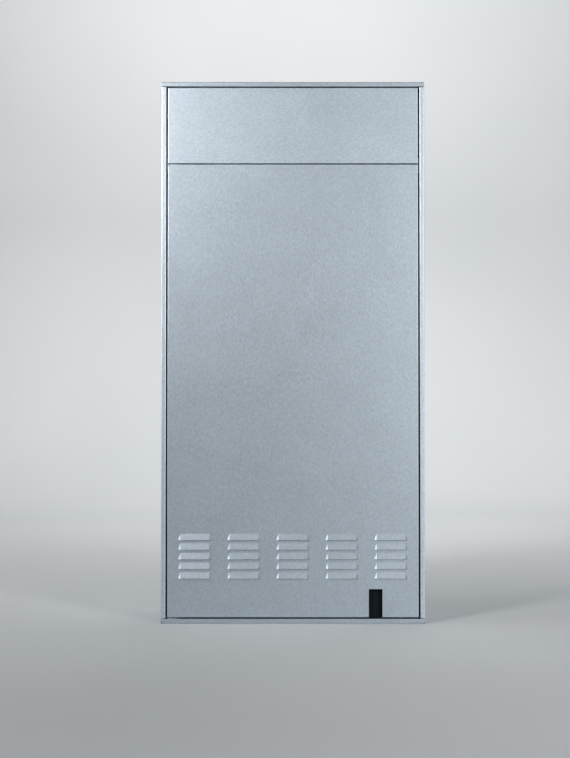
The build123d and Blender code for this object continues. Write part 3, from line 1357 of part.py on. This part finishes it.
def control_board():
    """Circuit board on four posts inside the tray, with a relay block and a coil block."""
    y = BOX_BACK - BOX_WALL
    rear = y - BOARD_STANDOFF
    front = rear - BOARD_THICKNESS
    half = BOX_HALF - BOARD_MARGIN
    z0 = BOX_BASE + BOARD_END_GAP
    z1 = BOX_TOP - BOARD_END_GAP
    board = block(-half, half, front, rear, z0, z1)
    post_x = half - BOARD_POST_INSET
    post = 3.0
    for x in (-post_x, post_x):
        for z in (z0 + BOARD_POST_INSET, z1 - BOARD_POST_INSET):
            board += block(x - post, x + post, rear, y, z - post, z + post)
    relay_x, relay_y, relay_z = RELAY_SIZE
    relay_base = z0 + 4
    relay = Box(relay_x, relay_y, relay_z, align=(Align.CENTER, Align.MAX, Align.MIN))
    board += Pos(RELAY_X, front, relay_base) * relay
    coil_x, coil_y, coil_z = COIL_BLOCK_SIZE
    coil_top = z1 - 12
    coil = Box(coil_x, coil_y, coil_z, align=(Align.CENTER, Align.MAX, Align.MAX))
    board += Pos(COIL_BLOCK_X, front, coil_top) * coil
    return board


def button_places():
    """Centres of the push buttons on the fascia."""
    return [(BUTTON_X + index * BUTTON_PITCH, CONTROL_Z) for index in range(BUTTON_COUNT)]


def fascia():
    """Front moulding of the control box with its cut-outs."""
    thickness = FASCIA_THICKNESS
    face = Box(2 * BOX_HALF, BOX_HEIGHT, thickness, align=(Align.CENTER, Align.CENTER, Align.MIN))
    face = chamfer(face.edges().group_by(Axis.Z)[-1], 1.2)
    cut = thickness + 2 * CUT
    for x, z in button_places():
        face -= Pos(x, z - CONTROL_Z, thickness / 2) * Box(
            BUTTON_WIDTH + 2 * BUTTON_CLEARANCE, BUTTON_HEIGHT + 2 * BUTTON_CLEARANCE, cut
        )
    face -= Pos(DISPLAY_X, 0, thickness / 2) * Box(DISPLAY_WIDTH, DISPLAY_HEIGHT, cut)
    face -= Pos(DIAL_X, 0, 0) * prism(-CUT, cut, SPINDLE_RADIUS + 2 * SEAT, 8)
    face -= Pos(GAUGE_X, 0, thickness / 2) * Box(2 * GAUGE_RADIUS, 2 * GAUGE_RADIUS, cut)
    return facing(0, FASCIA_BACK, CONTROL_Z) * face


def display_window():
    """Clear window set flush in the fascia."""
    lens = Box(DISPLAY_WIDTH, DISPLAY_HEIGHT, FASCIA_THICKNESS - 1)
    return facing(DISPLAY_X, FASCIA_FRONT + FASCIA_THICKNESS / 2, CONTROL_Z) * lens


def button(x, z):
    """Push button with a guide flange behind the fascia."""
    length = FASCIA_THICKNESS + BUTTON_PROUD
    cap = Pos(0, 0, length / 2) * Box(BUTTON_WIDTH, BUTTON_HEIGHT, length)
    cap = chamfer(cap.edges().filter_by(Axis.Z), 2)
    cap += Pos(0, 0, -SEAT - 0.5) * Box(BUTTON_WIDTH + 4, BUTTON_HEIGHT + 4, 1)
    cap += Pos(0, 0, -0.2) * Box(BUTTON_WIDTH - 4, BUTTON_HEIGHT - 4, 1)
    return facing(x, FASCIA_BACK, z) * cap


def dial():
    """Rotary selector with a grip bar and its spindle through the fascia."""
    front = FASCIA_THICKNESS + DIAL_HEIGHT
    knob = prism(FASCIA_THICKNESS + SEAT, FASCIA_THICKNESS + DIAL_HEIGHT / 2, DIAL_RADIUS, 24)
    knob += Pos(0, 0, front - DIAL_HEIGHT / 4) * Box(10, 2 * DIAL_RADIUS - 6, DIAL_HEIGHT / 2)
    knob += prism(-6, FASCIA_THICKNESS + 1, SPINDLE_RADIUS, 8)
    return facing(DIAL_X, FASCIA_BACK, CONTROL_Z) * knob


def gauge_case():
    """Square pressure gauge body with a rim that stands on the fascia."""
    size = 2 * GAUGE_RADIUS
    top = FASCIA_THICKNESS + GAUGE_RIM
    body_size = size - 2 * SEAT
    case = Pos(0, 0, (FASCIA_THICKNESS - GAUGE_DEPTH) / 2) * Box(
        body_size, body_size, GAUGE_DEPTH + FASCIA_THICKNESS
    )
    rim = Pos(0, 0, FASCIA_THICKNESS + GAUGE_RIM / 2) * Box(size + 6, size + 6, GAUGE_RIM)
    case += chamfer(rim.edges().group_by(Axis.Z)[-1], 1.2)
    recess = size - 2
    floor = FASCIA_THICKNESS - 1
    case -= Pos(0, 0, (floor + top + CUT) / 2) * Box(recess, recess, top + CUT - floor)
    case += prism(floor - CUT, floor + 1.6, 2, 8)
    return facing(GAUGE_X, FASCIA_BACK, CONTROL_Z) * case


def gauge_needle():
    """Thin pointer over the gauge's face."""
    z = FASCIA_THICKNESS + 0.9
    needle = Pos(6, 0, z + 0.4) * Box(28, 1.4, 0.8)
    needle += prism(z, z + 0.8, 3, 8)
    return facing(GAUGE_X, FASCIA_BACK, CONTROL_Z) * Rot(0, 0, 150) * needle


def gauge_lens():
    """Clear window over the pointer."""
    size = 2 * GAUGE_RADIUS - 2 - 2 * SEAT
    lens = Pos(0, 0, FASCIA_THICKNESS + 3.1) * Box(size, size, 1.2)
    return facing(GAUGE_X, FASCIA_BACK, CONTROL_Z) * lens


os.makedirs("parts", exist_ok=True)

left_side = cabinet_side()
save("cabinet_back", cabinet_back())
save("cabinet_left_side", left_side)
save("cabinet_right_side", mirror(left_side, about=Plane.YZ))
save("cabinet_top", cabinet_top())
save("cabinet_bottom", cabinet_bottom())
save("cross_rail", cross_rail())
save("frame_seals", *frame_seals())
save("hinge_brackets", *hinge_brackets())
save("frame_catches", *door_catches(), *panel_sockets())

save("door_panel", door_panel())
save("door_hardware", *door_stiffeners(), *door_hinge_leaves(), *strike_plates())
save("grip_cup", grip_cup())
save("top_panel", pan(TOP_PANEL_BASE, TOP_PANEL_TOP))
save("panel_blades", *panel_blades())

save("mounting_bracket", mounting_bracket())
save("chassis_plate", chassis_plate())
save("fixing_nuts", *chassis_nuts(), *burner_door_nuts())

save("exchanger_shell", exchanger_shell())
save("burner_door", burner_door())
save("burner", burner())
save("ignition_unit", ignition_electrode(), ignition_transformer())
save("flue_adapter", flue_adapter())

save("fan_housing", fan_housing())
save("fan_impeller", fan_impeller())
save("fan_motor", fan_motor())
save("venturi", venturi())
save("gas_valve", gas_valve())
save("air_ducts", intake_duct(), air_duct())
save("intake_silencer", intake_silencer())

save("expansion_vessel", expansion_vessel())
save("vessel_straps", *vessel_straps())
save("small_pipes", vessel_pipe(), mixture_pipe())

save("water_blocks", water_block_left(), water_block_right())
save("pump_volute", pump_volute())
save("pump_rotor", pump_rotor())
save("pump_motor", pump_motor())
save("plate_exchanger", plate_exchanger())
save("brass_fittings", diverter_cartridge(), safety_valve(), air_vent(), filling_valve())
save("diverter_motor", diverter_motor())
save("diverter_stem", diverter_stem())
save("safety_knob", safety_knob())
save("filling_knob", filling_knob())

save(
    "copper_pipes",
    copper_pipe(FLOW_X, BLOCK_TOP, RISER_TOP, HEATING_PIPE_RADIUS),
    copper_pipe(RETURN_X, BLOCK_TOP + VOLUTE_LEG, RISER_TOP, HEATING_PIPE_RADIUS),
    copper_pipe(GAS_X, NUT_TOP, GAS_VALVE_BASE, HEATING_PIPE_RADIUS),
    copper_pipe(FLOW_X, NUT_TOP, BLOCK_BASE, HEATING_PIPE_RADIUS),
    copper_pipe(HOT_X, NUT_TOP, BLOCK_BASE, WATER_PIPE_RADIUS),
    copper_pipe(COLD_X, NUT_TOP, BLOCK_BASE, WATER_PIPE_RADIUS),
    copper_pipe(RETURN_X, NUT_TOP, BLOCK_BASE, HEATING_PIPE_RADIUS),
)
levers = (("flow", FLOW_X), ("gas", GAS_X), ("cold", COLD_X), ("return", RETURN_X))
save(
    "service_valves",
    *[valve_body(x, HEATING_PIPE_RADIUS) for x in (FLOW_X, GAS_X, RETURN_X)],
    *[valve_body(x, WATER_PIPE_RADIUS) for x in (HOT_X, COLD_X)],
    *[valve_stem(x) for lever_name, x in levers],
)
for lever_name, lever_x in levers:
    save(lever_name + "_lever", valve_lever(lever_x))

save("condensate_trap", condensate_trap(), trap_cup(), condensate_pipe())

save("control_box", *control_box())
save("control_board", control_board())
save("fascia", fascia())
save("clear_windows", display_window(), gauge_lens())
for number, (button_x, button_z) in enumerate(button_places(), start=1):
    save("button_" + str(number), button(button_x, button_z))
save("dial", dial())
save("gauge_case", gauge_case())
save("gauge_needle", gauge_needle())
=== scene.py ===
import json
import math
import bpy
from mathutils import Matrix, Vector


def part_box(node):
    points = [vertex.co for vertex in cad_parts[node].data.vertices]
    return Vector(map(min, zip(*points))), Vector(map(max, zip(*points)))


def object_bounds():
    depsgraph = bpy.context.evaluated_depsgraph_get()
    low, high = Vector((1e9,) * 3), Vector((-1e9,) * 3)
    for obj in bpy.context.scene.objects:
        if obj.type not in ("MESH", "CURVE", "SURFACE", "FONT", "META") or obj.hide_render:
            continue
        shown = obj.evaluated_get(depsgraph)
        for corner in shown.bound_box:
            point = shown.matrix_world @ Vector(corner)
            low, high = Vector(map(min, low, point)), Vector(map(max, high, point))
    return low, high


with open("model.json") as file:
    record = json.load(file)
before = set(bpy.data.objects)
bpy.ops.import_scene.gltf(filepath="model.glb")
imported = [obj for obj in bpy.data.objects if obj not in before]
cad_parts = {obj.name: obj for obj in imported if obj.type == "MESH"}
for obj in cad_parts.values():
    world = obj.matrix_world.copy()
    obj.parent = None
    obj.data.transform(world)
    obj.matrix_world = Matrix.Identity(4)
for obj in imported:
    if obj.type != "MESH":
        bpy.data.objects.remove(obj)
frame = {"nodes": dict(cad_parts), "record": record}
cad_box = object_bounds()
nodes = frame["nodes"]

# Camera, fitted to the cabinet's four corners in the photograph: metres, degrees and pixels.
CAMERA_X = -0.018
CAMERA_Z = 0.489
CAMERA_TILT = 1.27
CAMERA_DISTANCE = 3.0
FRONT_OFFSET = 0.0055  # from the louvres' lips back to the plane that the distance starts from
FOCAL_PIXELS = 1318.6
FRAME_HEIGHT = 758
SENSOR_WIDTH = 36.0
CLIP_END = 50.0

# Pressure gauge's dial, on the floor of the case's recess: metres and radians.
DIAL_RECESS = 0.005
DIAL_TOLERANCE = 0.0003
DIAL_RADIUS = 0.0235
DIAL_TONE = (0.70, 0.70, 0.67)
SCALE_START = math.radians(150)
SCALE_SWEEP = math.radians(240)
SCALE_MARGIN = 0.05
SCALE_STEPS = 10
TICK_SHARE = 0.16
TICK_INNER = 0.72
TICK_OUTER = 0.92

# Zinc-coated sheet: cells a metre of its noise fields, and tones as shares of its own.
ZINC = (0.545, 0.612, 0.673)
GRAIN_ACROSS = 460.0
GRAIN_ALONG = 150.0
SPECKLE_CELLS = 330.0
PATCH_CELLS = 9.0
GRAIN_TONES = (0.82, 1.13)
SPECKLE_TONES = (0.88, 1.08)
GRAIN_ROUGHNESS = 0.015
PATCH_ROUGHNESS = 0.012
GRAIN_RELIEF = 0.0001

# Painted shade where the posts fold back beside the panels: half the width between them, the
# front plane, and the shade's colour.
POST_INNER = 0.2893
POST_FRONT = -0.1185
GAP_PAINTED_SHADE = (0.02, 0.024, 0.028)

# Other materials.
BLACK = (0.022, 0.024, 0.026)
METAL_SHADE = 0.82
METAL_FINENESS = 9
METAL_RELIEF = 0.0004
MOULDED_SHADE = 0.88
MOULDED_CELLS = 22.0
MOULDED_RELIEF = 0.0003
PLAIN_SPECULAR = 0.5

# Floor and backdrop: one sheet that sweeps up behind the cabinet, in metres.
FLOOR_FRONT = -8.0
FLOOR_BACK = 4.6
FLOOR_HALF_WIDTH = 9.0
SWEEP = 1.6
SWEEP_STEPS = 16
BACKDROP_TOP = 7.0

# Name, place, point looked at, width and height in metres, power in watts, beam in degrees.
LAMPS = (
    ("key", (-1.7, -2.0, 1.9), (-0.2, 0, 1.15), (0.7, 0.7), 6.8, 60),
    ("left", (-2.5, -3.2, 1.4), (0, 0, 0.7), (0.8, 2.0), 11, 180),
    ("right", (2.3, -3.3, 1.3), (0, 0, 0.7), (1.0, 2.4), 74, 180),
    ("side", (-3.4, -0.7, 1.3), (0, 0, 0.6), (1.0, 2.4), 30, 180),
    ("wall", (0.0, 1.8, 4.4), (0, FLOOR_BACK, 1.2), (4.0, 1.2), 90, 130),
    ("back", (0.9, 2.6, 3.2), (0, 0.1, 0.5), (2.8, 1.6), 28, 180),
)
WORLD_COLOUR = (0.80, 0.86, 0.90, 1)
WORLD_STRENGTH = 0.27

PRINCIPLED = "Principled BSDF"
# Sockets of a Mix node that mixes colours.
COLOUR_A = 6
COLOUR_B = 7
COLOUR_OUT = 2


def new_material(name):
    """Return a new material, its node tree and its principled shader."""
    material = bpy.data.materials.new(name)
    material.use_nodes = True
    tree = material.node_tree
    return material, tree, tree.nodes[PRINCIPLED]


def feed(tree, value, socket):
    """Link a field to a socket, or set the socket to a plain number or colour."""
    if isinstance(value, bpy.types.NodeSocket):
        tree.links.new(value, socket)
    else:
        socket.default_value = value


def math_node(tree, operation, *values):
    """One arithmetic step on fields and numbers."""
    node = tree.nodes.new("ShaderNodeMath")
    node.operation = operation
    for socket, value in zip(node.inputs, values):
        feed(tree, value, socket)
    return node.outputs["Value"]


def mix_colours(tree, factor, first, second):
    """Go from the first colour to the second by a number or a field."""
    node = tree.nodes.new("ShaderNodeMix")
    node.data_type = "RGBA"
    feed(tree, factor, node.inputs["Factor"])
    feed(tree, first, node.inputs[COLOUR_A])
    feed(tree, second, node.inputs[COLOUR_B])
    return node.outputs[COLOUR_OUT]


def coordinates(tree, scale=(1, 1, 1)):
    """Object coordinates in metres, stretched by the scale."""
    source = tree.nodes.new("ShaderNodeTexCoord")
    mapping = tree.nodes.new("ShaderNodeMapping")
    mapping.inputs["Scale"].default_value = scale
    tree.links.new(source.outputs["Object"], mapping.inputs["Vector"])
    return mapping.outputs["Vector"]


def object_axes(tree):
    """Object coordinates in metres, as three fields."""
    source = tree.nodes.new("ShaderNodeTexCoord")
    axes = tree.nodes.new("ShaderNodeSeparateXYZ")
    tree.links.new(source.outputs["Object"], axes.inputs["Vector"])
    return axes.outputs["X"], axes.outputs["Y"], axes.outputs["Z"]


def noise(tree, vector, scale, detail, roughness):
    """A noise field on the given coordinates."""
    texture = tree.nodes.new("ShaderNodeTexNoise")
    texture.inputs["Scale"].default_value = scale
    texture.inputs["Detail"].default_value = detail
    texture.inputs["Roughness"].default_value = roughness
    tree.links.new(vector, texture.inputs["Vector"])
    return texture.outputs["Fac"]


def ramp(tree, value, low, high):
    """Map the middle of a noise field to a colour between two tones."""
    node = tree.nodes.new("ShaderNodeValToRGB")
    first, last = node.color_ramp.elements
    first.position = 0.35
    last.position = 0.65
    first.color = (*low, 1)
    last.color = (*high, 1)
    tree.links.new(value, node.inputs["Fac"])
    return node.outputs["Color"]


def spread(tree, value, low, high):
    """Map the middle of a noise field to a number between two limits."""
    node = tree.nodes.new("ShaderNodeMapRange")
    node.inputs["From Min"].default_value = 0.3
    node.inputs["From Max"].default_value = 0.7
    node.inputs["To Min"].default_value = low
    node.inputs["To Max"].default_value = high
    tree.links.new(value, node.inputs["Value"])
    return node.outputs["Result"]


def bump(tree, shader, height, strength, distance):
    """Raise the surface by a field."""
    node = tree.nodes.new("ShaderNodeBump")
    node.inputs["Strength"].default_value = strength
    node.inputs["Distance"].default_value = distance
    tree.links.new(height, node.inputs["Height"])
    tree.links.new(node.outputs["Normal"], shader.inputs["Normal"])


def toned(tone, share):
    """The tone, made darker or lighter by a share."""
    return tuple(c * share for c in tone)


def brushed_sheet(name, tone, grain, roughness=0.42):
    """Zinc-coated sheet: a short fine grain along one axis over a close speckle."""
    material, tree, shader = new_material(name)
    scale = tuple(GRAIN_ALONG if axis == grain else GRAIN_ACROSS for axis in "xyz")
    lines = noise(tree, coordinates(tree, scale), 1.0, 2.0, 0.5)
    speckle = noise(tree, coordinates(tree), SPECKLE_CELLS, 3.0, 0.6)
    patch = noise(tree, coordinates(tree), PATCH_CELLS, 3.0, 0.6)
    fine = ramp(tree, lines, *(toned(tone, share) for share in GRAIN_TONES))
    soft = ramp(tree, speckle, *(toned(tone, share) for share in SPECKLE_TONES))
    tree.links.new(mix_colours(tree, 0.5, fine, soft), shader.inputs["Base Color"])
    shader.inputs["Metallic"].default_value = 1.0
    by_line = spread(tree, lines, -GRAIN_ROUGHNESS, GRAIN_ROUGHNESS)
    by_patch = spread(tree, patch, roughness - PATCH_ROUGHNESS, roughness + PATCH_ROUGHNESS)
    tree.links.new(math_node(tree, "ADD", by_line, by_patch), shader.inputs["Roughness"])
    bump(tree, shader, lines, 0.02, GRAIN_RELIEF)
    return material


def metal(name, tone, roughness, grain=60.0, depth=0.1):
    """Plain worked metal with a light cloudiness."""
    material, tree, shader = new_material(name)
    cloud = noise(tree, coordinates(tree), grain, 4.0, 0.6)
    fine = noise(tree, coordinates(tree), grain * METAL_FINENESS, 3.0, 0.6)
    colour = ramp(tree, cloud, toned(tone, METAL_SHADE), tone)
    tree.links.new(colour, shader.inputs["Base Color"])
    shader.inputs["Metallic"].default_value = 1.0
    rough = spread(tree, cloud, roughness - 0.06, roughness + 0.08)
    tree.links.new(rough, shader.inputs["Roughness"])
    bump(tree, shader, fine, depth, METAL_RELIEF)
    return material


def moulded(name, tone, roughness, depth=0.08, grain=700.0, specular=PLAIN_SPECULAR):
    """Moulded plastic, paint or foam with a fine skin and slight tone variation."""
    material, tree, shader = new_material(name)
    cloud = noise(tree, coordinates(tree), MOULDED_CELLS, 3.0, 0.5)
    skin = noise(tree, coordinates(tree), grain, 2.0, 0.5)
    colour = ramp(tree, cloud, toned(tone, MOULDED_SHADE), tone)
    tree.links.new(colour, shader.inputs["Base Color"])
    rough = spread(tree, skin, roughness - 0.05, roughness + 0.06)
    tree.links.new(rough, shader.inputs["Roughness"])
    shader.inputs["Specular IOR Level"].default_value = specular
    bump(tree, shader, skin, depth, MOULDED_RELIEF)
    return material


def window(name):
    """Clear plastic window with a faint tint."""
    material, tree, shader = new_material(name)
    haze = noise(tree, coordinates(tree), 90.0, 2.0, 0.5)
    colour = ramp(tree, haze, (0.66, 0.72, 0.74), (0.74, 0.80, 0.82))
    tree.links.new(colour, shader.inputs["Base Color"])
    tree.links.new(spread(tree, haze, 0.05, 0.12), shader.inputs["Roughness"])
    shader.inputs["Transmission Weight"].default_value = 0.9
    shader.inputs["Alpha"].default_value = 0.35
    return material


def paint_over(material, mask, tone):
    """Give the surface another tone where the mask is one."""
    tree = material.node_tree
    socket = tree.nodes[PRINCIPLED].inputs["Base Color"]
    under = socket.links[0].from_socket
    tree.links.new(mix_colours(tree, mask, under, (*tone, 1)), socket)


def paint_gap_shade(material):
    """Painted shade: darken the sheet that folds back beside the panels, inside the narrow
    gaps, where shade falls.
    """
    tree = material.node_tree
    x, y, _ = object_axes(tree)
    off_centre = math_node(tree, "ABSOLUTE", x)
    beside = math_node(tree, "LESS_THAN", off_centre, POST_INNER)
    behind = math_node(tree, "GREATER_THAN", y, POST_FRONT)
    paint_over(material, math_node(tree, "MULTIPLY", beside, behind), GAP_PAINTED_SHADE)


def gauge_face(name, low, high):
    """Black moulding whose recessed floor is a pale dial with a ring of plain ticks."""
    material = moulded(name, BLACK, 0.5)
    tree = material.node_tree
    x, y, z = object_axes(tree)
    across = math_node(tree, "SUBTRACT", x, (low.x + high.x) / 2)
    up = math_node(tree, "SUBTRACT", z, (low.z + high.z) / 2)
    from_floor = math_node(tree, "SUBTRACT", y, low.y + DIAL_RECESS)
    off_floor = math_node(tree, "ABSOLUTE", from_floor)
    on_floor = math_node(tree, "LESS_THAN", off_floor, DIAL_TOLERANCE)
    across_square = math_node(tree, "POWER", across, 2.0)
    up_square = math_node(tree, "POWER", up, 2.0)
    radius = math_node(tree, "SQRT", math_node(tree, "ADD", across_square, up_square))
    in_disc = math_node(tree, "LESS_THAN", radius, DIAL_RADIUS)
    disc = math_node(tree, "MULTIPLY", in_disc, on_floor)

    angle = math_node(tree, "ARCTAN2", up, across)
    turned = math_node(tree, "MULTIPLY_ADD", angle, -1.0, SCALE_START + 2 * math.pi)
    along = math_node(tree, "FLOORED_MODULO", turned, 2 * math.pi)
    steps_per_radian = SCALE_STEPS / SCALE_SWEEP
    steps = math_node(tree, "MULTIPLY_ADD", along, steps_per_radian, TICK_SHARE / 2)
    tick = math_node(tree, "LESS_THAN", math_node(tree, "FRACT", steps), TICK_SHARE)
    in_sweep = math_node(tree, "LESS_THAN", along, SCALE_SWEEP + SCALE_MARGIN)
    past_inner = math_node(tree, "GREATER_THAN", radius, DIAL_RADIUS * TICK_INNER)
    before_outer = math_node(tree, "LESS_THAN", radius, DIAL_RADIUS * TICK_OUTER)
    in_ring = math_node(tree, "MULTIPLY", past_inner, before_outer)
    marked = math_node(tree, "MULTIPLY", tick, in_sweep)
    printed = math_node(tree, "MULTIPLY", marked, in_ring)
    bare = math_node(tree, "MULTIPLY_ADD", printed, -1.0, 1.0)
    paint_over(material, math_node(tree, "MULTIPLY", disc, bare), DIAL_TONE)
    return material


sheet_up = brushed_sheet("zinc_grain_up", ZINC, "z")
sheet_across = brushed_sheet("zinc_grain_across", toned(ZINC, 1.08), "x")
sheet_rail = brushed_sheet("zinc_rail", toned(ZINC, 0.97), "x")
sheet_frame = brushed_sheet("zinc_frame", toned(ZINC, 1.15), "z", 0.43)
# Painted shade on the posts' folds inside the gaps beside the panels.
paint_gap_shade(sheet_frame)

by_slot = {
    "zinc_sheet": sheet_up,
    "zinc_small_parts": metal("zinc_small", (0.52, 0.54, 0.57), 0.38),
    "stainless_steel": metal("stainless", (0.62, 0.62, 0.61), 0.28, 40.0, 0.05),
    "cast_aluminium": metal("cast_aluminium", (0.55, 0.56, 0.57), 0.55, 90.0, 0.12),
    "copper": metal("copper", (0.78, 0.42, 0.27), 0.32, 50.0, 0.02),
    "brass": metal("brass", (0.72, 0.56, 0.28), 0.33, 50.0, 0.08),
    "vessel_paint": moulded("vessel_paint", (0.42, 0.04, 0.035), 0.38),
    "pump_paint": moulded("pump_paint", (0.045, 0.05, 0.055), 0.45, 0.25, 260.0),
    "black_plastic": moulded("black_plastic", BLACK, 0.5),
    "grey_plastic": moulded("grey_plastic", (0.22, 0.23, 0.24), 0.55),
    "white_plastic": moulded("white_plastic", (0.68, 0.68, 0.66), 0.42),
    "lever_plastic": moulded("lever_plastic", (0.02, 0.09, 0.30), 0.4),
    "red_plastic": moulded("red_plastic", (0.45, 0.025, 0.02), 0.4),
    "foam": moulded("foam", (0.005, 0.006, 0.007), 0.9, 0.6, 420.0, specular=0.1),
    "board": moulded("board", (0.02, 0.12, 0.06), 0.4),
    "clear_window": window("clear_window"),
}
by_node = {
    "top_panel": sheet_across,
    "cross_rail": sheet_across,
    "mounting_bracket": sheet_across,
    "cabinet_top": sheet_rail,
    "cabinet_bottom": sheet_rail,
    "cabinet_left_side": sheet_frame,
    "cabinet_right_side": sheet_frame,
    # The grip cup is black plastic, painted darker and duller than the other black parts to
    # stand in for the shade inside the notch.
    "grip_cup": moulded("notch_plastic_and_shade", (0.004, 0.008, 0.010), 0.7, specular=0.15),
    "gauge_case": gauge_face("gauge_face", *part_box("gauge_case")),
}
for part in frame["record"]["subparts"]:
    material = by_node.get(part["node"], by_slot[part["material_slot"]])
    slots = nodes[part["node"]].data.materials
    slots.clear()
    slots.append(material)

profile = [(FLOOR_FRONT, 0.0), (FLOOR_BACK - SWEEP, 0.0)]
for step in range(1, SWEEP_STEPS + 1):
    angle = math.radians(90 * step / SWEEP_STEPS)
    y = FLOOR_BACK - SWEEP + SWEEP * math.sin(angle)
    z = SWEEP - SWEEP * math.cos(angle)
    profile.append((y, z))
profile.append((FLOOR_BACK, BACKDROP_TOP))
points = []
faces = []
for index, (y, z) in enumerate(profile):
    points += [(-FLOOR_HALF_WIDTH, y, z), (FLOOR_HALF_WIDTH, y, z)]
    if index:
        left = 2 * index
        faces.append((left - 2, left - 1, left + 1, left))
mesh = bpy.data.meshes.new("backdrop")
mesh.from_pydata(points, [], faces)
for face in mesh.polygons:
    face.use_smooth = True
backdrop = bpy.data.objects.new("backdrop", mesh)
bpy.context.collection.objects.link(backdrop)

# The backdrop is pale where it is seen, mirrored or seen through, and darker to diffuse light.
floor_material, tree, shader = new_material("backdrop")
soft = noise(tree, coordinates(tree), 0.6, 2.0, 0.5)
seen = ramp(tree, soft, (0.62, 0.635, 0.64), (0.66, 0.67, 0.675))
reflected = ramp(tree, soft, (0.20, 0.23, 0.25), (0.22, 0.25, 0.27))
rays = tree.nodes.new("ShaderNodeLightPath").outputs
seen_or_mirrored = math_node(tree, "MAXIMUM", rays["Is Camera Ray"], rays["Is Glossy Ray"])
seen_anyhow = math_node(tree, "MAXIMUM", seen_or_mirrored, rays["Is Transmission Ray"])
by_ray = mix_colours(tree, seen_anyhow, reflected, seen)
tree.links.new(by_ray, shader.inputs["Base Color"])
shader.inputs["Roughness"].default_value = 0.9
mesh.materials.append(floor_material)


def lamp(name, place, aim, size, power, beam):
    """A soft rectangular lamp that looks at a point."""
    data = bpy.data.lights.new(name, "AREA")
    data.shape = "RECTANGLE"
    data.size, data.size_y = size
    data.energy = power
    data.spread = math.radians(beam)
    light = bpy.data.objects.new(name, data)
    light.location = place
    light.rotation_mode = "QUATERNION"
    light.rotation_quaternion = (Vector(aim) - Vector(place)).to_track_quat("-Z", "Y")
    bpy.context.collection.objects.link(light)


for lamp_values in LAMPS:
    lamp(*lamp_values)

scene = bpy.context.scene
scene.world = bpy.data.worlds.new("world")
scene.world.use_nodes = True
background = scene.world.node_tree.nodes["Background"]
background.inputs["Color"].default_value = WORLD_COLOUR
background.inputs["Strength"].default_value = WORLD_STRENGTH

camera_data = bpy.data.cameras.new("camera")
camera_data.sensor_fit = "AUTO"
camera_data.sensor_width = SENSOR_WIDTH
camera_data.lens = SENSOR_WIDTH * FOCAL_PIXELS / FRAME_HEIGHT
camera_data.clip_end = CLIP_END
camera = bpy.data.objects.new("camera", camera_data)
camera_y = cad_box[0].y + FRONT_OFFSET - CAMERA_DISTANCE
camera.location = (CAMERA_X, camera_y, CAMERA_Z)
camera.rotation_euler = (math.radians(90 + CAMERA_TILT), 0, 0)
bpy.context.collection.objects.link(camera)
bpy.context.scene.camera = camera

scene.view_settings.view_transform = "Standard"
